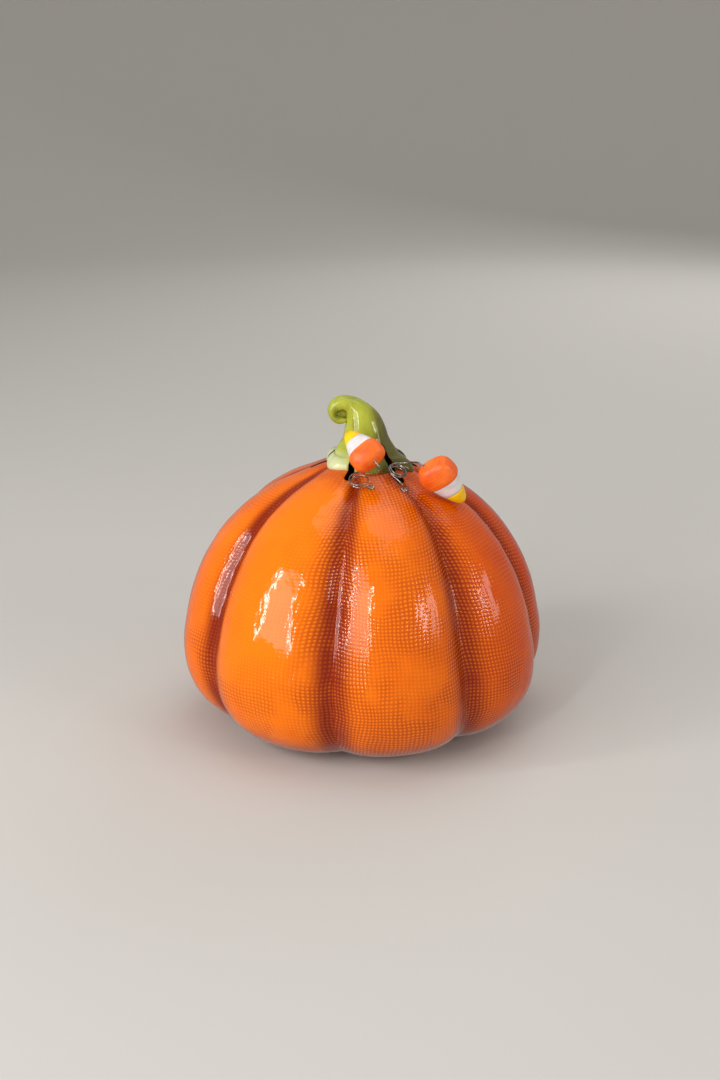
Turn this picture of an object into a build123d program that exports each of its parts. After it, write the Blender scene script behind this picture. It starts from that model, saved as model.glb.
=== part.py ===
from build123d import *

import os
from math import cos, hypot, pi, radians, sin, tan

# Glazed ceramic pumpkin lantern with two clay candy corns on curled wires.
# Millimetres, +Z up. The origin is on the table under the middle of the pumpkin,
# and -Y is the side that faces the room. The tealight's doorway is at the back, +Y.

# ---------------------------------------------------------------- driving dimensions

# Meridian of the slip-cast body: height, radius on a lobe's crown, and how far the
# groove between two lobes lies inside the crown, as a share of that radius.
BODY_STATIONS = [
    (0, 56, 0.07),
    (3, 65, 0.07),
    (10, 78, 0.07),
    (22, 87.5, 0.07),
    (38, 91, 0.075),
    (56, 89, 0.08),
    (74, 84, 0.085),
    (91, 75.5, 0.09),
    (105, 64.5, 0.10),
    (117, 49.5, 0.10),
    (126.5, 30, 0.09),
    (132.5, 14, 0.06),
]
BODY_HEIGHT = BODY_STATIONS[-1][0]
WAIST_HEIGHT = 56
# Bearing of each groove at the foot, the waist and the crown, in degrees from the
# front (-Y) towards +X. They wander, because the model was made by hand.
GROOVES = [
    (-105, -105, -104),
    (-56, -61, -67),
    (-9, -10, -8),
    (42, 35, 41),
    (82, 80, 84),
    (119, 118.5, 118),
    (157, 157, 157),
    (203, 203, 203),
]
WALL = 5.2
FLOOR = 6.0
FLOOR_CORNER = 7.0
CEILING_DROP = 14.0
FOOT_RECESS_RADIUS = 40.0
FOOT_RECESS_DEPTH = 1.2

# Vent slots cut through the stem's skirt and the body's crown
VENT_BEARINGS = [-92, -19, 43, 97, 152, 210]
VENT_INNER = (13.6, 1.5)
VENT_OUTER = (26.0, 2.5)
VENT_BOTTOM = 112.0
VENT_TOP = 146.0

# Doorway at the back that the tealight goes in by
DOOR_WIDTH = 46.0
DOOR_HEIGHT = 48.0
DOOR_NEAR = 45.0
DOOR_DEPTH = 60.0

# Stem: x, z and radius of the trunk, from inside the crown to the curl's end
STEM_STATIONS = [
    (1.0, 122.0, 12.5),
    (1.2, 137.0, 11.6),
    (1.0, 144.0, 10.6),
    (0.5, 151.0, 9.2),
    (-3.4, 157.2, 7.4),
    (-10.2, 160.0, 4.5),
    (-14.6, 157.4, 2.7),
    (-14.0, 153.6, 2.0),
    (-11.4, 152.4, 1.4),
]
SKIRT_RADIUS = 20.5
SKIRT_EDGE_HEIGHT = 131.0
SKIRT_TOP = (10.2, 146.0)
SKIRT_WAIST = (14.2, 136.8)

# Candy corn: distance from the wide end, width, thickness, for each of its colours
CORN_COLOURS = {
    "base": [(0.0, 13.0, 8.5), (1.5, 16.4, 11.2), (5.0, 18.0, 12.6), (9.0, 17.6, 12.8), (11.4, 16.6, 12.2)],
    "band": [(11.4, 15.8, 11.5), (18.9, 10.8, 8.9)],
    "tip": [(18.9, 10.6, 8.7), (23.0, 7.8, 7.2), (26.0, 4.6, 4.6), (27.0, 2.4, 2.4)],
}
CORN_CORNER = 0.46
CORN_BORE_RADIUS = 1.3
CORN_BORE_DEPTH = 6.0
CORN_GLUE_TOP = 0.8
GLUE_BORE_RADIUS = 0.45
# Middle of the wide end, direction of the tip, direction of the width, size along and
# across, and where the wire's hole is on the wide end, across and through the thickness
LEFT_CORN = {
    "origin": (4.8, -30.3, 138.8),
    "tip": (-0.569, 0.660, 0.492),
    "width": (0.765, 0.204, 0.611),
    "size": (0.82, 0.94),
    "hole": (1.0, -1.3),
}
RIGHT_CORN = {
    "origin": (30.9, -29.9, 138.1),
    "tip": (0.630, 0.245, -0.737),
    "width": (0.772, -0.303, 0.559),
    "size": (1.0, 1.0),
    "hole": (-2.6, -0.2),
}

# Wire that carries each corn, and the hole in the pumpkin that it is glued into
WIRE_RADIUS = 0.35
WIRE_IN_CORN = 4.5
WIRE_IN_HOLE = 4.0
BEND_SHARE = 0.45
LOOSENESS = 0.08
TURN_POINTS = 12
ANCHOR_RADIUS = 1.3
ANCHOR_TOP = 0.9
ANCHOR_BOTTOM = 4.9
# Hole, outward direction there, curl's centre, its two directions, its radius, its
# first and last bearing, its rise, and the points before and after it
LEFT_WIRE = {
    "hole": (3.5, -29.3, 126.9),
    "outward": (0.051, -0.427, 0.903),
    "centre": (-2.0, -27.6, 128.6),
    "across": (0.994, 0.0, 0.105),
    "uphill": (-0.038, 0.933, 0.358),
    "radius": 4.7,
    "bearings": (-35, -630),
    "rise": 2.5,
    "lead_in": [],
    "lead_out": [(1.2, -22.8, 131.6), (4.8, -25.2, 132.3), (7.4, -28.6, 133.5), (7.9, -31.9, 135.9)],
}
RIGHT_WIRE = {
    "hole": (19.2, -25.9, 124.6),
    "outward": (0.256, -0.346, 0.903),
    "centre": (15.8, -19.8, 131.2),
    "across": (0.952, 0.111, -0.285),
    "uphill": (0.0, 0.914, 0.406),
    "radius": 4.3,
    "bearings": (-150, -1340),
    "rise": 2.4,
    "lead_in": [(17.6, -26.6, 128.4)],
    "lead_out": [(22.6, -18.6, 135.8), (24.3, -23.5, 137.6)],
}

# Tealight in the lantern
TEALIGHT_Y = 8.0
CUP_LIFT = 0.3
CUP_RADIUS = 19.0
CUP_HEIGHT = 15.5
CUP_WALL = 0.5
CUP_RIM = 0.6
WAX_HEIGHT = 12.0
WAX_MELT_RADIUS = 9.0
WAX_MELT_DEPTH = 0.8
SUSTAINER_RADIUS = 6.5
SUSTAINER_THICKNESS = 0.4
WICK_RADIUS = 0.7
WICK_LENGTH = 18.0


def save(part, name):
    """Labels a finished piece and writes its STEP file."""
    part.label = name
    export_step(part, f"parts/{name}.step")


def at_bearing(radius, bearing):
    """The (x, y) of a point at that radius and bearing."""
    return (radius * sin(radians(bearing)), -radius * cos(radians(bearing)))


os.makedirs("parts", exist_ok=True)

# ---------------------------------------------------------------- body


def groove_bearing(groove, height):
    """Bearing of a groove at a height, through its three stated bearings."""
    foot, waist, crown = groove
    if height <= WAIST_HEIGHT:
        return waist + (foot - waist) * (1 - height / WAIST_HEIGHT) ** 2
    rise = (height - WAIST_HEIGHT) / (BODY_HEIGHT - WAIST_HEIGHT)
    return waist + (crown - waist) * rise**2


def lobed_outline(height, crown_radius, groove_share):
    """Closed outline of the eight lobes at one height: an arc for each lobe."""
    groove_radius = crown_radius * (1 - groove_share)
    bearings = [groove_bearing(groove, height) for groove in GROOVES]
    bearings.append(bearings[0] + 360)
    with BuildSketch(Plane.XY.offset(height)) as outline:
        with BuildLine():
            for left, right in zip(bearings, bearings[1:]):
                ThreePointArc(
                    at_bearing(groove_radius, left),
                    at_bearing(crown_radius, (left + right) / 2),
                    at_bearing(groove_radius, right),
                )
        make_face()
    return outline.sketch


def cavity_stations():
    """Stations of the cavity: each moved in by the wall, square to the meridian."""
    walls = []
    for before, here, after in zip(BODY_STATIONS[1:], BODY_STATIONS[2:], BODY_STATIONS[3:]):
        rise = after[0] - before[0]
        run = after[1] - before[1]
        slant = hypot(rise, run)
        height = here[0] + WALL * run / slant
        if height > FLOOR + WALL:
            walls.append((height, here[1] - WALL * rise / slant, here[2]))
    floor = (FLOOR, walls[0][1] - FLOOR_CORNER, walls[0][2])
    ceiling = (BODY_HEIGHT - WALL - 0.6, walls[-1][1] - CEILING_DROP, walls[-1][2])
    return [floor, *walls, ceiling]


def vent_cutter():
    """One solid for each vent: a slot that widens outwards, with round ends."""
    with BuildPart() as cutter:
        with BuildSketch(Plane.XY.offset(VENT_BOTTOM)):
            for bearing in VENT_BEARINGS:
                with BuildSketch(Plane.XY.offset(VENT_BOTTOM).rotated((0, 0, bearing - 90))) as slot:
                    for reach, radius in (VENT_INNER, VENT_OUTER):
                        with Locations((reach, 0)):
                            Circle(radius)
                    make_hull()
                add(slot.sketch)
        extrude(amount=VENT_TOP - VENT_BOTTOM)
    return cutter.part


with BuildPart() as envelope:
    loft([lobed_outline(*station) for station in BODY_STATIONS])

with BuildPart() as cavity:
    loft([lobed_outline(*station) for station in cavity_stations()])

vents = vent_cutter()

with BuildPart() as body_shell:
    add(envelope.part)
    add(cavity.part, mode=Mode.SUBTRACT)
    add(vents, mode=Mode.SUBTRACT)
    # Dry foot: a ring to stand on, round a shallow recess
    with BuildSketch(Plane.XY):
        Circle(FOOT_RECESS_RADIUS)
    extrude(amount=FOOT_RECESS_DEPTH, mode=Mode.SUBTRACT)
    # Arched doorway in the back lobe, its sill level with the floor
    with BuildSketch(Plane.XZ.offset(-DOOR_NEAR)):
        with BuildLine():
            Line((-DOOR_WIDTH / 2, FLOOR), (DOOR_WIDTH / 2, FLOOR))
            Line((DOOR_WIDTH / 2, FLOOR), (DOOR_WIDTH / 2, FLOOR + DOOR_HEIGHT - DOOR_WIDTH / 2))
            ThreePointArc(
                (DOOR_WIDTH / 2, FLOOR + DOOR_HEIGHT - DOOR_WIDTH / 2),
                (0, FLOOR + DOOR_HEIGHT),
                (-DOOR_WIDTH / 2, FLOOR + DOOR_HEIGHT - DOOR_WIDTH / 2),
            )
            Line((-DOOR_WIDTH / 2, FLOOR + DOOR_HEIGHT - DOOR_WIDTH / 2), (-DOOR_WIDTH / 2, FLOOR))
        make_face()
    extrude(amount=-DOOR_DEPTH, mode=Mode.SUBTRACT)
    # A small hole through the shoulder for each wire
    for wire in (LEFT_WIRE, RIGHT_WIRE):
        with BuildSketch(Plane(origin=wire["hole"], z_dir=wire["outward"])):
            Circle(ANCHOR_RADIUS)
        extrude(amount=WALL * 2, both=True, mode=Mode.SUBTRACT)
save(body_shell.part, "body_shell")

# ---------------------------------------------------------------- stem

# Trunk that narrows upwards and curls over: round sections along its middle line
trunk_line = Spline([(x, 0, z) for x, z, _ in STEM_STATIONS])
trunk_sections = []
for x, z, radius in STEM_STATIONS:
    along = trunk_line.tangent_at(trunk_line.param_at_point((x, 0, z)))
    with BuildSketch(Plane(origin=(x, 0, z), x_dir=(0, 1, 0), z_dir=along)) as section:
        Circle(radius)
    trunk_sections.append(section.sketch)

with BuildPart() as stem:
    sweep(trunk_sections, path=trunk_line, multisection=True)
    # Skirt that flares out over the pumpkin's crown
    with BuildSketch(Plane.XZ):
        with BuildLine():
            Line((0, VENT_BOTTOM), (SKIRT_RADIUS, VENT_BOTTOM))
            Line((SKIRT_RADIUS, VENT_BOTTOM), (SKIRT_RADIUS, SKIRT_EDGE_HEIGHT))
            ThreePointArc((SKIRT_RADIUS, SKIRT_EDGE_HEIGHT), SKIRT_WAIST, SKIRT_TOP)
            Line(SKIRT_TOP, (0, SKIRT_TOP[1]))
            Line((0, SKIRT_TOP[1]), (0, VENT_BOTTOM))
        make_face()
    revolve(axis=Axis.Z)
    # It is bedded on the body, and the vents are cut through both
    add(envelope.part, mode=Mode.SUBTRACT)
    add(vents, mode=Mode.SUBTRACT)
save(stem.part, "stem")

# ---------------------------------------------------------------- candy corns


def corn_plane(corn):
    """Plane at the corn's wide end: x across it, z towards its tip."""
    return Plane(origin=corn["origin"], x_dir=corn["width"], z_dir=corn["tip"])


def corn_hole(corn):
    """Plane at the mouth of the wire's hole, on the wide end."""
    across, through = corn["hole"]
    plane = corn_plane(corn)
    mouth = plane.origin + plane.x_dir * across + plane.y_dir * through
    return Plane(origin=mouth, x_dir=plane.x_dir, z_dir=plane.z_dir)


def corn_piece(corn, colour):
    """One colour of a candy corn, lofted through its rounded sections."""
    along, across = corn["size"]
    sections = []
    for reach, width, thickness in CORN_COLOURS[colour]:
        with BuildSketch(corn_plane(corn).offset(reach * along)) as section:
            RectangleRounded(width * across, thickness * across, CORN_CORNER * thickness * across)
        sections.append(section.sketch)
    with BuildPart() as piece:
        loft(sections)
        if colour == "base":
            with BuildSketch(corn_hole(corn)):
                Circle(CORN_BORE_RADIUS)
            extrude(amount=CORN_BORE_DEPTH, mode=Mode.SUBTRACT)
    return piece.part


def corn_glue(corn):
    """Bead of glue that fills the mouth of the corn's hole round the wire."""
    with BuildPart() as bead:
        with BuildSketch(corn_hole(corn).offset(CORN_GLUE_TOP)):
            Circle(CORN_BORE_RADIUS)
            Circle(GLUE_BORE_RADIUS, mode=Mode.SUBTRACT)
        extrude(amount=CORN_BORE_DEPTH - CORN_GLUE_TOP)
    return bead.part


for side, corn in (("left", LEFT_CORN), ("right", RIGHT_CORN)):
    for colour in CORN_COLOURS:
        save(corn_piece(corn, colour), f"{side}_corn_{colour}")
    save(corn_glue(corn), f"{side}_corn_glue")

# ---------------------------------------------------------------- curled wires


def wire_points(wire, corn):
    """The wire's corners: out of its hole, round its curl and into the corn."""
    hole = Vector(*wire["hole"])
    outward = Vector(*wire["outward"]).normalized()
    across = Vector(*wire["across"]).normalized()
    uphill = Vector(*wire["uphill"]).normalized()
    centre = Vector(*wire["centre"])
    first, last = wire["bearings"]
    points = [hole - outward * WIRE_IN_HOLE, hole + outward * 1.2]
    points += [Vector(*point) for point in wire["lead_in"]]
    steps = round(abs(last - first) * TURN_POINTS / 360)
    for step in range(steps + 1):
        share = step / steps
        bearing = radians(first + (last - first) * share)
        lift = across.cross(uphill) * (wire["rise"] * share)
        arm = across * cos(bearing) + uphill * sin(bearing)
        # Turns curled by hand differ a little in size
        loose = wire["radius"] * (1 + LOOSENESS * sin(bearing * 0.37))
        points.append(centre + arm * loose + lift)
    points += [Vector(*point) for point in wire["lead_out"]]
    mouth = corn_hole(corn)
    points.append(mouth.origin - mouth.z_dir * 2.2)
    points.append(mouth.origin + mouth.z_dir * WIRE_IN_CORN)
    return points


def bend_radii(points):
    """Radius at each inner corner: as large as the two runs beside it allow."""
    radii = []
    for before, here, after in zip(points, points[1:], points[2:]):
        arriving = here - before
        leaving = after - here
        turn = radians(arriving.get_angle(leaving))
        radii.append(BEND_SHARE * min(arriving.length, leaving.length) / tan(turn / 2))
    return radii


def bent_wire(wire, corn):
    """Round wire along its route of straight runs and tangent arcs."""
    points = wire_points(wire, corn)
    radii = bend_radii(points)
    print("wire bends, mm:", [round(radius, 1) for radius in radii])
    with BuildPart() as bent:
        with BuildLine() as route:
            FilletPolyline(*points, radius=radii)
        with BuildSketch(Plane(origin=points[0], z_dir=points[1] - points[0])):
            Circle(WIRE_RADIUS)
        sweep(path=route.line)
    length = sum(edge.length for edge in route.line.edges())
    solid_share = bent.part.volume / (pi * WIRE_RADIUS**2 * length)
    print("wire length, mm:", round(length, 1), "volume over section times length:", round(solid_share, 4))
    return bent.part


def anchor_glue(wire):
    """Glue in the pumpkin's hole, round the end of the wire."""
    with BuildPart() as plug:
        with BuildSketch(Plane(origin=wire["hole"], z_dir=wire["outward"]).offset(-ANCHOR_BOTTOM)):
            Circle(ANCHOR_RADIUS)
        extrude(amount=ANCHOR_BOTTOM - ANCHOR_TOP)
        with BuildSketch(Plane(origin=wire["hole"], z_dir=wire["outward"]).offset(-WIRE_IN_HOLE)):
            Circle(WIRE_RADIUS)
        extrude(amount=WIRE_IN_HOLE, mode=Mode.SUBTRACT)
    return plug.part


for side, wire, corn in (("left", LEFT_WIRE, LEFT_CORN), ("right", RIGHT_WIRE, RIGHT_CORN)):
    save(bent_wire(wire, corn), f"{side}_wire")
    save(anchor_glue(wire), f"{side}_wire_anchor")

# ---------------------------------------------------------------- tealight

CUP_BOTTOM = FLOOR + CUP_LIFT

# Drawn aluminium cup with a rolled rim
with BuildPart() as tealight_cup:
    with BuildSketch(Plane.XY.offset(CUP_BOTTOM)):
        with Locations((0, TEALIGHT_Y)):
            Circle(CUP_RADIUS)
    extrude(amount=CUP_HEIGHT)
    with BuildSketch(Plane.XY.offset(CUP_BOTTOM + CUP_WALL)):
        with Locations((0, TEALIGHT_Y)):
            Circle(CUP_RADIUS - CUP_WALL)
    extrude(amount=CUP_HEIGHT, mode=Mode.SUBTRACT)
    with BuildSketch(Plane.XY.offset(CUP_BOTTOM + CUP_HEIGHT - CUP_RIM)):
        with Locations((0, TEALIGHT_Y)):
            Circle(CUP_RADIUS + CUP_RIM)
            Circle(CUP_RADIUS - CUP_WALL, mode=Mode.SUBTRACT)
    extrude(amount=CUP_RIM)
save(tealight_cup.part, "tealight_cup")

# Tinplate disc that holds the wick on the cup's floor
with BuildPart() as wick_sustainer:
    with BuildSketch(Plane.XY.offset(CUP_BOTTOM + CUP_WALL)):
        with Locations((0, TEALIGHT_Y)):
            Circle(SUSTAINER_RADIUS)
            Circle(WICK_RADIUS, mode=Mode.SUBTRACT)
    extrude(amount=SUSTAINER_THICKNESS)
save(wick_sustainer.part, "wick_sustainer")

# Wax poured round the sustainer, sunk a little round the wick
with BuildPart() as tealight_wax:
    with BuildSketch(Plane.XY.offset(CUP_BOTTOM + CUP_WALL)):
        with Locations((0, TEALIGHT_Y)):
            Circle(CUP_RADIUS - CUP_WALL)
    extrude(amount=WAX_HEIGHT)
    with BuildSketch(Plane.XY.offset(CUP_BOTTOM + CUP_WALL)):
        with Locations((0, TEALIGHT_Y)):
            Circle(SUSTAINER_RADIUS)
    extrude(amount=SUSTAINER_THICKNESS, mode=Mode.SUBTRACT)
    with BuildSketch(Plane.XY.offset(CUP_BOTTOM + CUP_WALL + WAX_HEIGHT - WAX_MELT_DEPTH)):
        with Locations((0, TEALIGHT_Y)):
            Circle(WAX_MELT_RADIUS)
    extrude(amount=WAX_MELT_DEPTH, mode=Mode.SUBTRACT)
    with BuildSketch(Plane.XY.offset(CUP_BOTTOM + CUP_WALL)):
        with Locations((0, TEALIGHT_Y)):
            Circle(WICK_RADIUS)
    extrude(amount=WAX_HEIGHT, mode=Mode.SUBTRACT)
save(tealight_wax.part, "tealight_wax")

# Waxed cotton wick, standing in the sustainer
with BuildPart() as tealight_wick:
    with BuildSketch(Plane.XY.offset(CUP_BOTTOM + CUP_WALL)):
        with Locations((0, TEALIGHT_Y)):
            Circle(WICK_RADIUS)
    extrude(amount=WICK_LENGTH)
save(tealight_wick.part, "tealight_wick")
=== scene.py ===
from math import ceil, cos, pi, radians, sin

import bmesh
import bpy
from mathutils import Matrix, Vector, noise
from mathutils.bvhtree import BVHTree


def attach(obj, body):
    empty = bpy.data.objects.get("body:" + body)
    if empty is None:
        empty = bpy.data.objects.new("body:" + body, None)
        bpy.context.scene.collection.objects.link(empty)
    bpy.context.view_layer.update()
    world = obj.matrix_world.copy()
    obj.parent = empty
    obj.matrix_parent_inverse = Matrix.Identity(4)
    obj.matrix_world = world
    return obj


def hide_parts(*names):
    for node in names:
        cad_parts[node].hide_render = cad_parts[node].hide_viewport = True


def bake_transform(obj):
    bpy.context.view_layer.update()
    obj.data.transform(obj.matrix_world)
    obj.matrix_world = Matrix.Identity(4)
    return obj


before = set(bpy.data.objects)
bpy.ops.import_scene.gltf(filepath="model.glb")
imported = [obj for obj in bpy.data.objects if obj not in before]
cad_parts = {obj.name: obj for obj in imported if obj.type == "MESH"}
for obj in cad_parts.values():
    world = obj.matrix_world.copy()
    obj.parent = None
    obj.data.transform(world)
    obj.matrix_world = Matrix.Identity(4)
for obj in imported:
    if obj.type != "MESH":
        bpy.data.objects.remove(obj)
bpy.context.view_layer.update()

# ======================================================================= pumpkin shell
# The pumpkin is slip-cast white earthenware, 5 mm thick, with eight lobes. Damp burlap
# was pressed into the lobes, six vents were cut round the stem and a doorway at the back,
# and it was fired in a running, transparent orange glaze over a rust-brown wash.

MM = 0.001
LOBES = 8
# Bearing of each groove, in degrees from the front (-Y) towards +X, at the waist, and how
# far it leans from there by the foot and by the crown. Modelled by hand, so they wander.
GROOVE_BEARINGS = [-105, -61, -10, 35, 80, 118.5, 157, 203]
FOOT_LEAN = [0, 5, 1, 7, 2, 0.5, 0, 0]
CROWN_LEAN = [1, -6, 2, 6, 4, -0.5, 0, 0]
# The curve nodes hold a bearing as its share of this span
BEARING_START = GROOVE_BEARINGS[0] - 10
BEARING_SPAN = 400
# How deep the cloth took in each lobe, and how red each lobe is: its glaze's red plus painted shade on the
# right-hand lobes
LOBE_PRINT = [0.4, 0.16, 0.9, 0.5, 0.6, 0.8, 0.8, 0.7]
LOBE_RED_AND_SHADE = [0.25, 0.0, 0.2, 0.72, 0.95, 0.7, 0.5, 0.35]
WAIST_HEIGHT = 56 * MM
CROWN_HEIGHT = 132.5 * MM
# Meridian over the crown of a lobe, from the middle of the foot up to the stem, in mm:
# radius, height and V where it turns a corner or A where it runs smoothly
OUTER_MERIDIAN = [
    (0, 1.2, "V"), (38.5, 1.2, "V"), (40.5, 0, "V"), (54, 0, "V"), (58.5, 0.7, "A"), (65, 3, "A"),
    (78, 10, "A"), (87.5, 22, "A"), (91, 38, "A"), (89, 56, "A"), (84, 74, "A"), (75.5, 91, "A"),
    (64.5, 105, "A"), (49.5, 117, "A"), (30, 126.5, "A"), (14, 132.5, "A"), (0, 134, "A"),
]
INNER_MERIDIAN = [
    (0, 6, "V"), (62, 6, "V"), (69, 8.5, "A"), (75, 14, "A"), (83, 25, "A"), (85.8, 38, "A"),
    (83.8, 55, "A"), (79, 72, "A"), (71, 88, "A"), (60.5, 101, "A"), (46, 112, "A"),
    (28, 121.5, "A"), (12, 126.7, "A"), (0, 127.5, "V"),
]
THREAD = 1.8 * MM
# How far the columns are drawn together towards a groove, and how sharp its hollow is
COLUMN_DRAW = 1.3
GROOVE_SHARPNESS = 2.7
# Between these heights the grooves grow from their low share of the radius to their high one
GROOVE_DEEPENS = (30 * MM, 105 * MM)
# Points of a skin's poles and seam that lie this close are one
MERGE = 0.02 * MM
# Swells some 30 mm long and dimples of 10 mm: noise scale and weight, from one fixed seed
HAND_WAVES = ((34.0, 1.0), (95.0, 0.22))
HAND_SEED = 3.7


def linear(code):
    """An sRGB hex colour as linear RGBA."""
    channels = [int(code[i:i + 2], 16) / 255 for i in (1, 3, 5)]
    return [c / 12.92 if c <= 0.04045 else ((c + 0.055) / 1.055) ** 2.4 for c in channels] + [1.0]


def add_node(tree, kind, settings=None, inputs=None):
    """Adds a node, gives it its settings, and sets or links its inputs."""
    made = tree.nodes.new(kind)
    for name, value in (settings or {}).items():
        setattr(made, name, value)
    for socket, value in (inputs or {}).items():
        if isinstance(value, bpy.types.NodeSocket):
            tree.links.new(value, made.inputs[socket])
        else:
            made.inputs[socket].default_value = value
    return made


def draw_curve(node, points):
    """Gives a curve node its points, pairs from 0 to 1, with straight runs between."""
    curve = node.mapping.curves[0]
    curve.points[0].location = points[0]
    curve.points[-1].location = points[-1]
    for point in points[1:-1]:
        curve.points.new(*point)
    for point in curve.points:
        point.handle_type = "VECTOR"
    node.mapping.update()


def groove_curve(tree, turn, leans):
    """Curve node from place round the pumpkin, 0 to 1, to the bearing's share of the span."""
    bearings = [bearing + lean for bearing, lean in zip(GROOVE_BEARINGS, leans)]
    bearings.append(bearings[0] + 360)
    node = add_node(tree, "ShaderNodeFloatCurve", inputs={"Value": turn})
    shares = [(bearing - BEARING_START) / BEARING_SPAN for bearing in bearings]
    draw_curve(node, [(k / LOBES, share) for k, share in enumerate(shares)])
    return node.outputs[0]


def lobe_curve(tree, turn, values):
    """Curve node from place round the pumpkin, 0 to 1, to a value that each lobe has."""
    node = add_node(tree, "ShaderNodeFloatCurve", inputs={"Value": turn})
    ring = [(values[0] + values[-1]) / 2] + values + [(values[0] + values[-1]) / 2]
    places = [0] + [(k + 0.5) / LOBES for k in range(LOBES)] + [1]
    draw_curve(node, list(zip(places, ring)))
    return node.outputs[0]


def lobed_skin_tree():
    """Node tree that bends a grid into a lobed skin round a meridian."""
    tree = bpy.data.node_groups.new("lobed_skin", "GeometryNodeTree")
    face = tree.interface
    for name, kind, value in (
        ("Meridian", "NodeSocketObject", None),
        ("Columns", "NodeSocketInt", LOBES * 44),
        ("Rows", "NodeSocketInt", 170),
        ("Groove Rounding", "NodeSocketFloat", 0.06),
        ("Groove Share Low", "NodeSocketFloat", 0.088),
        ("Groove Share High", "NodeSocketFloat", 0.125),
        ("Unevenness", "NodeSocketFloat", 0.0),
        ("Thread", "NodeSocketFloat", THREAD),
        ("Inside", "NodeSocketFloat", 0.0),
        ("Glaze", "NodeSocketMaterial", None),
    ):
        socket = face.new_socket(name=name, in_out="INPUT", socket_type=kind)
        if value is not None:
            socket.default_value = value
    face.new_socket(name="Skin", in_out="OUTPUT", socket_type="NodeSocketGeometry")
    given = add_node(tree, "NodeGroupInput").outputs

    # Unit grid: x is the place round the pumpkin and y the way up the meridian
    grid = add_node(tree, "GeometryNodeMeshGrid", inputs={
        "Size X": 1.0, "Size Y": 1.0, "Vertices X": given["Columns"], "Vertices Y": given["Rows"]})
    place = add_node(tree, "ShaderNodeSeparateXYZ", inputs={
        0: add_node(tree, "GeometryNodeInputPosition").outputs[0]}).outputs
    around = add_node(tree, "ShaderNodeMath", {"operation": "ADD"}, {0: place[0], 1: 0.5}).outputs[0]
    along = add_node(tree, "ShaderNodeMath", {"operation": "ADD"}, {0: place[1], 1: 0.5}).outputs[0]
    lobe = add_node(tree, "ShaderNodeMath", {"operation": "MULTIPLY"}, {0: around, 1: LOBES}).outputs[0]

    # Side of the lobe, -1 to 1, with the columns drawn together towards the grooves. It is
    # worked out from the lobe's own number at each point, and again for each face's corners
    sides = []
    at_point = add_node(tree, "ShaderNodeMath", {"operation": "FLOOR"}, {0: lobe}).outputs[0]
    at_face = add_node(tree, "GeometryNodeFieldOnDomain", {"domain": "FACE"}, {0: at_point}).outputs[0]
    for number in (at_point, at_face):
        part = add_node(tree, "ShaderNodeMath", {"operation": "SUBTRACT"}, {0: lobe, 1: number}).outputs[0]
        raw = add_node(tree, "ShaderNodeMath", {"operation": "MULTIPLY_ADD"}, {
            0: part, 1: 2.0, 2: -1.0}).outputs[0]
        size = add_node(tree, "ShaderNodeMath", {"operation": "ABSOLUTE"}, {0: raw}).outputs[0]
        rest = add_node(tree, "ShaderNodeMath", {"operation": "SUBTRACT"}, {0: 1.0, 1: size}).outputs[0]
        drawn = add_node(tree, "ShaderNodeMath", {"operation": "POWER"}, {0: rest, 1: COLUMN_DRAW}).outputs[0]
        away = add_node(tree, "ShaderNodeMath", {"operation": "SUBTRACT"}, {0: 1.0, 1: drawn}).outputs[0]
        sign = add_node(tree, "ShaderNodeMath", {"operation": "SIGN"}, {0: raw}).outputs[0]
        sides.append(add_node(tree, "ShaderNodeMath", {"operation": "MULTIPLY"}, {
            0: away, 1: sign}).outputs[0])
    half_step = add_node(tree, "ShaderNodeMath", {"operation": "MULTIPLY_ADD"}, {
        0: sides[0], 1: 0.5, 2: 0.5}).outputs[0]
    spread = add_node(tree, "ShaderNodeMath", {"operation": "ADD"}, {0: at_point, 1: half_step}).outputs[0]
    turn = add_node(tree, "ShaderNodeMath", {"operation": "DIVIDE"}, {0: spread, 1: LOBES}).outputs[0]

    # Hollow of the groove: 0 on the crown of the lobe, 1 in the groove, rounded there
    rounding = given["Groove Rounding"]
    off = add_node(tree, "ShaderNodeMath", {"operation": "ABSOLUTE"}, {0: sides[0]}).outputs[0]
    left = add_node(tree, "ShaderNodeMath", {"operation": "SUBTRACT"}, {0: 1.0, 1: off}).outputs[0]
    square = add_node(tree, "ShaderNodeMath", {"operation": "MULTIPLY"}, {
        0: rounding, 1: rounding}).outputs[0]
    arms = []
    for reach in (left, 1.0):
        both = add_node(tree, "ShaderNodeMath", {"operation": "MULTIPLY"}, {0: reach, 1: reach}).outputs[0]
        total = add_node(tree, "ShaderNodeMath", {"operation": "ADD"}, {0: both, 1: square}).outputs[0]
        root = add_node(tree, "ShaderNodeMath", {"operation": "SQRT"}, {0: total}).outputs[0]
        arms.append(add_node(tree, "ShaderNodeMath", {"operation": "SUBTRACT"}, {
            0: root, 1: rounding}).outputs[0])
    ratio = add_node(tree, "ShaderNodeMath", {"operation": "DIVIDE"}, {0: arms[0], 1: arms[1]}).outputs[0]
    soft = add_node(tree, "ShaderNodeMath", {"operation": "SUBTRACT"}, {0: 1.0, 1: ratio}).outputs[0]
    hollow = add_node(tree, "ShaderNodeMath", {"operation": "POWER"}, {
        0: soft, 1: GROOVE_SHARPNESS}).outputs[0]

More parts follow.
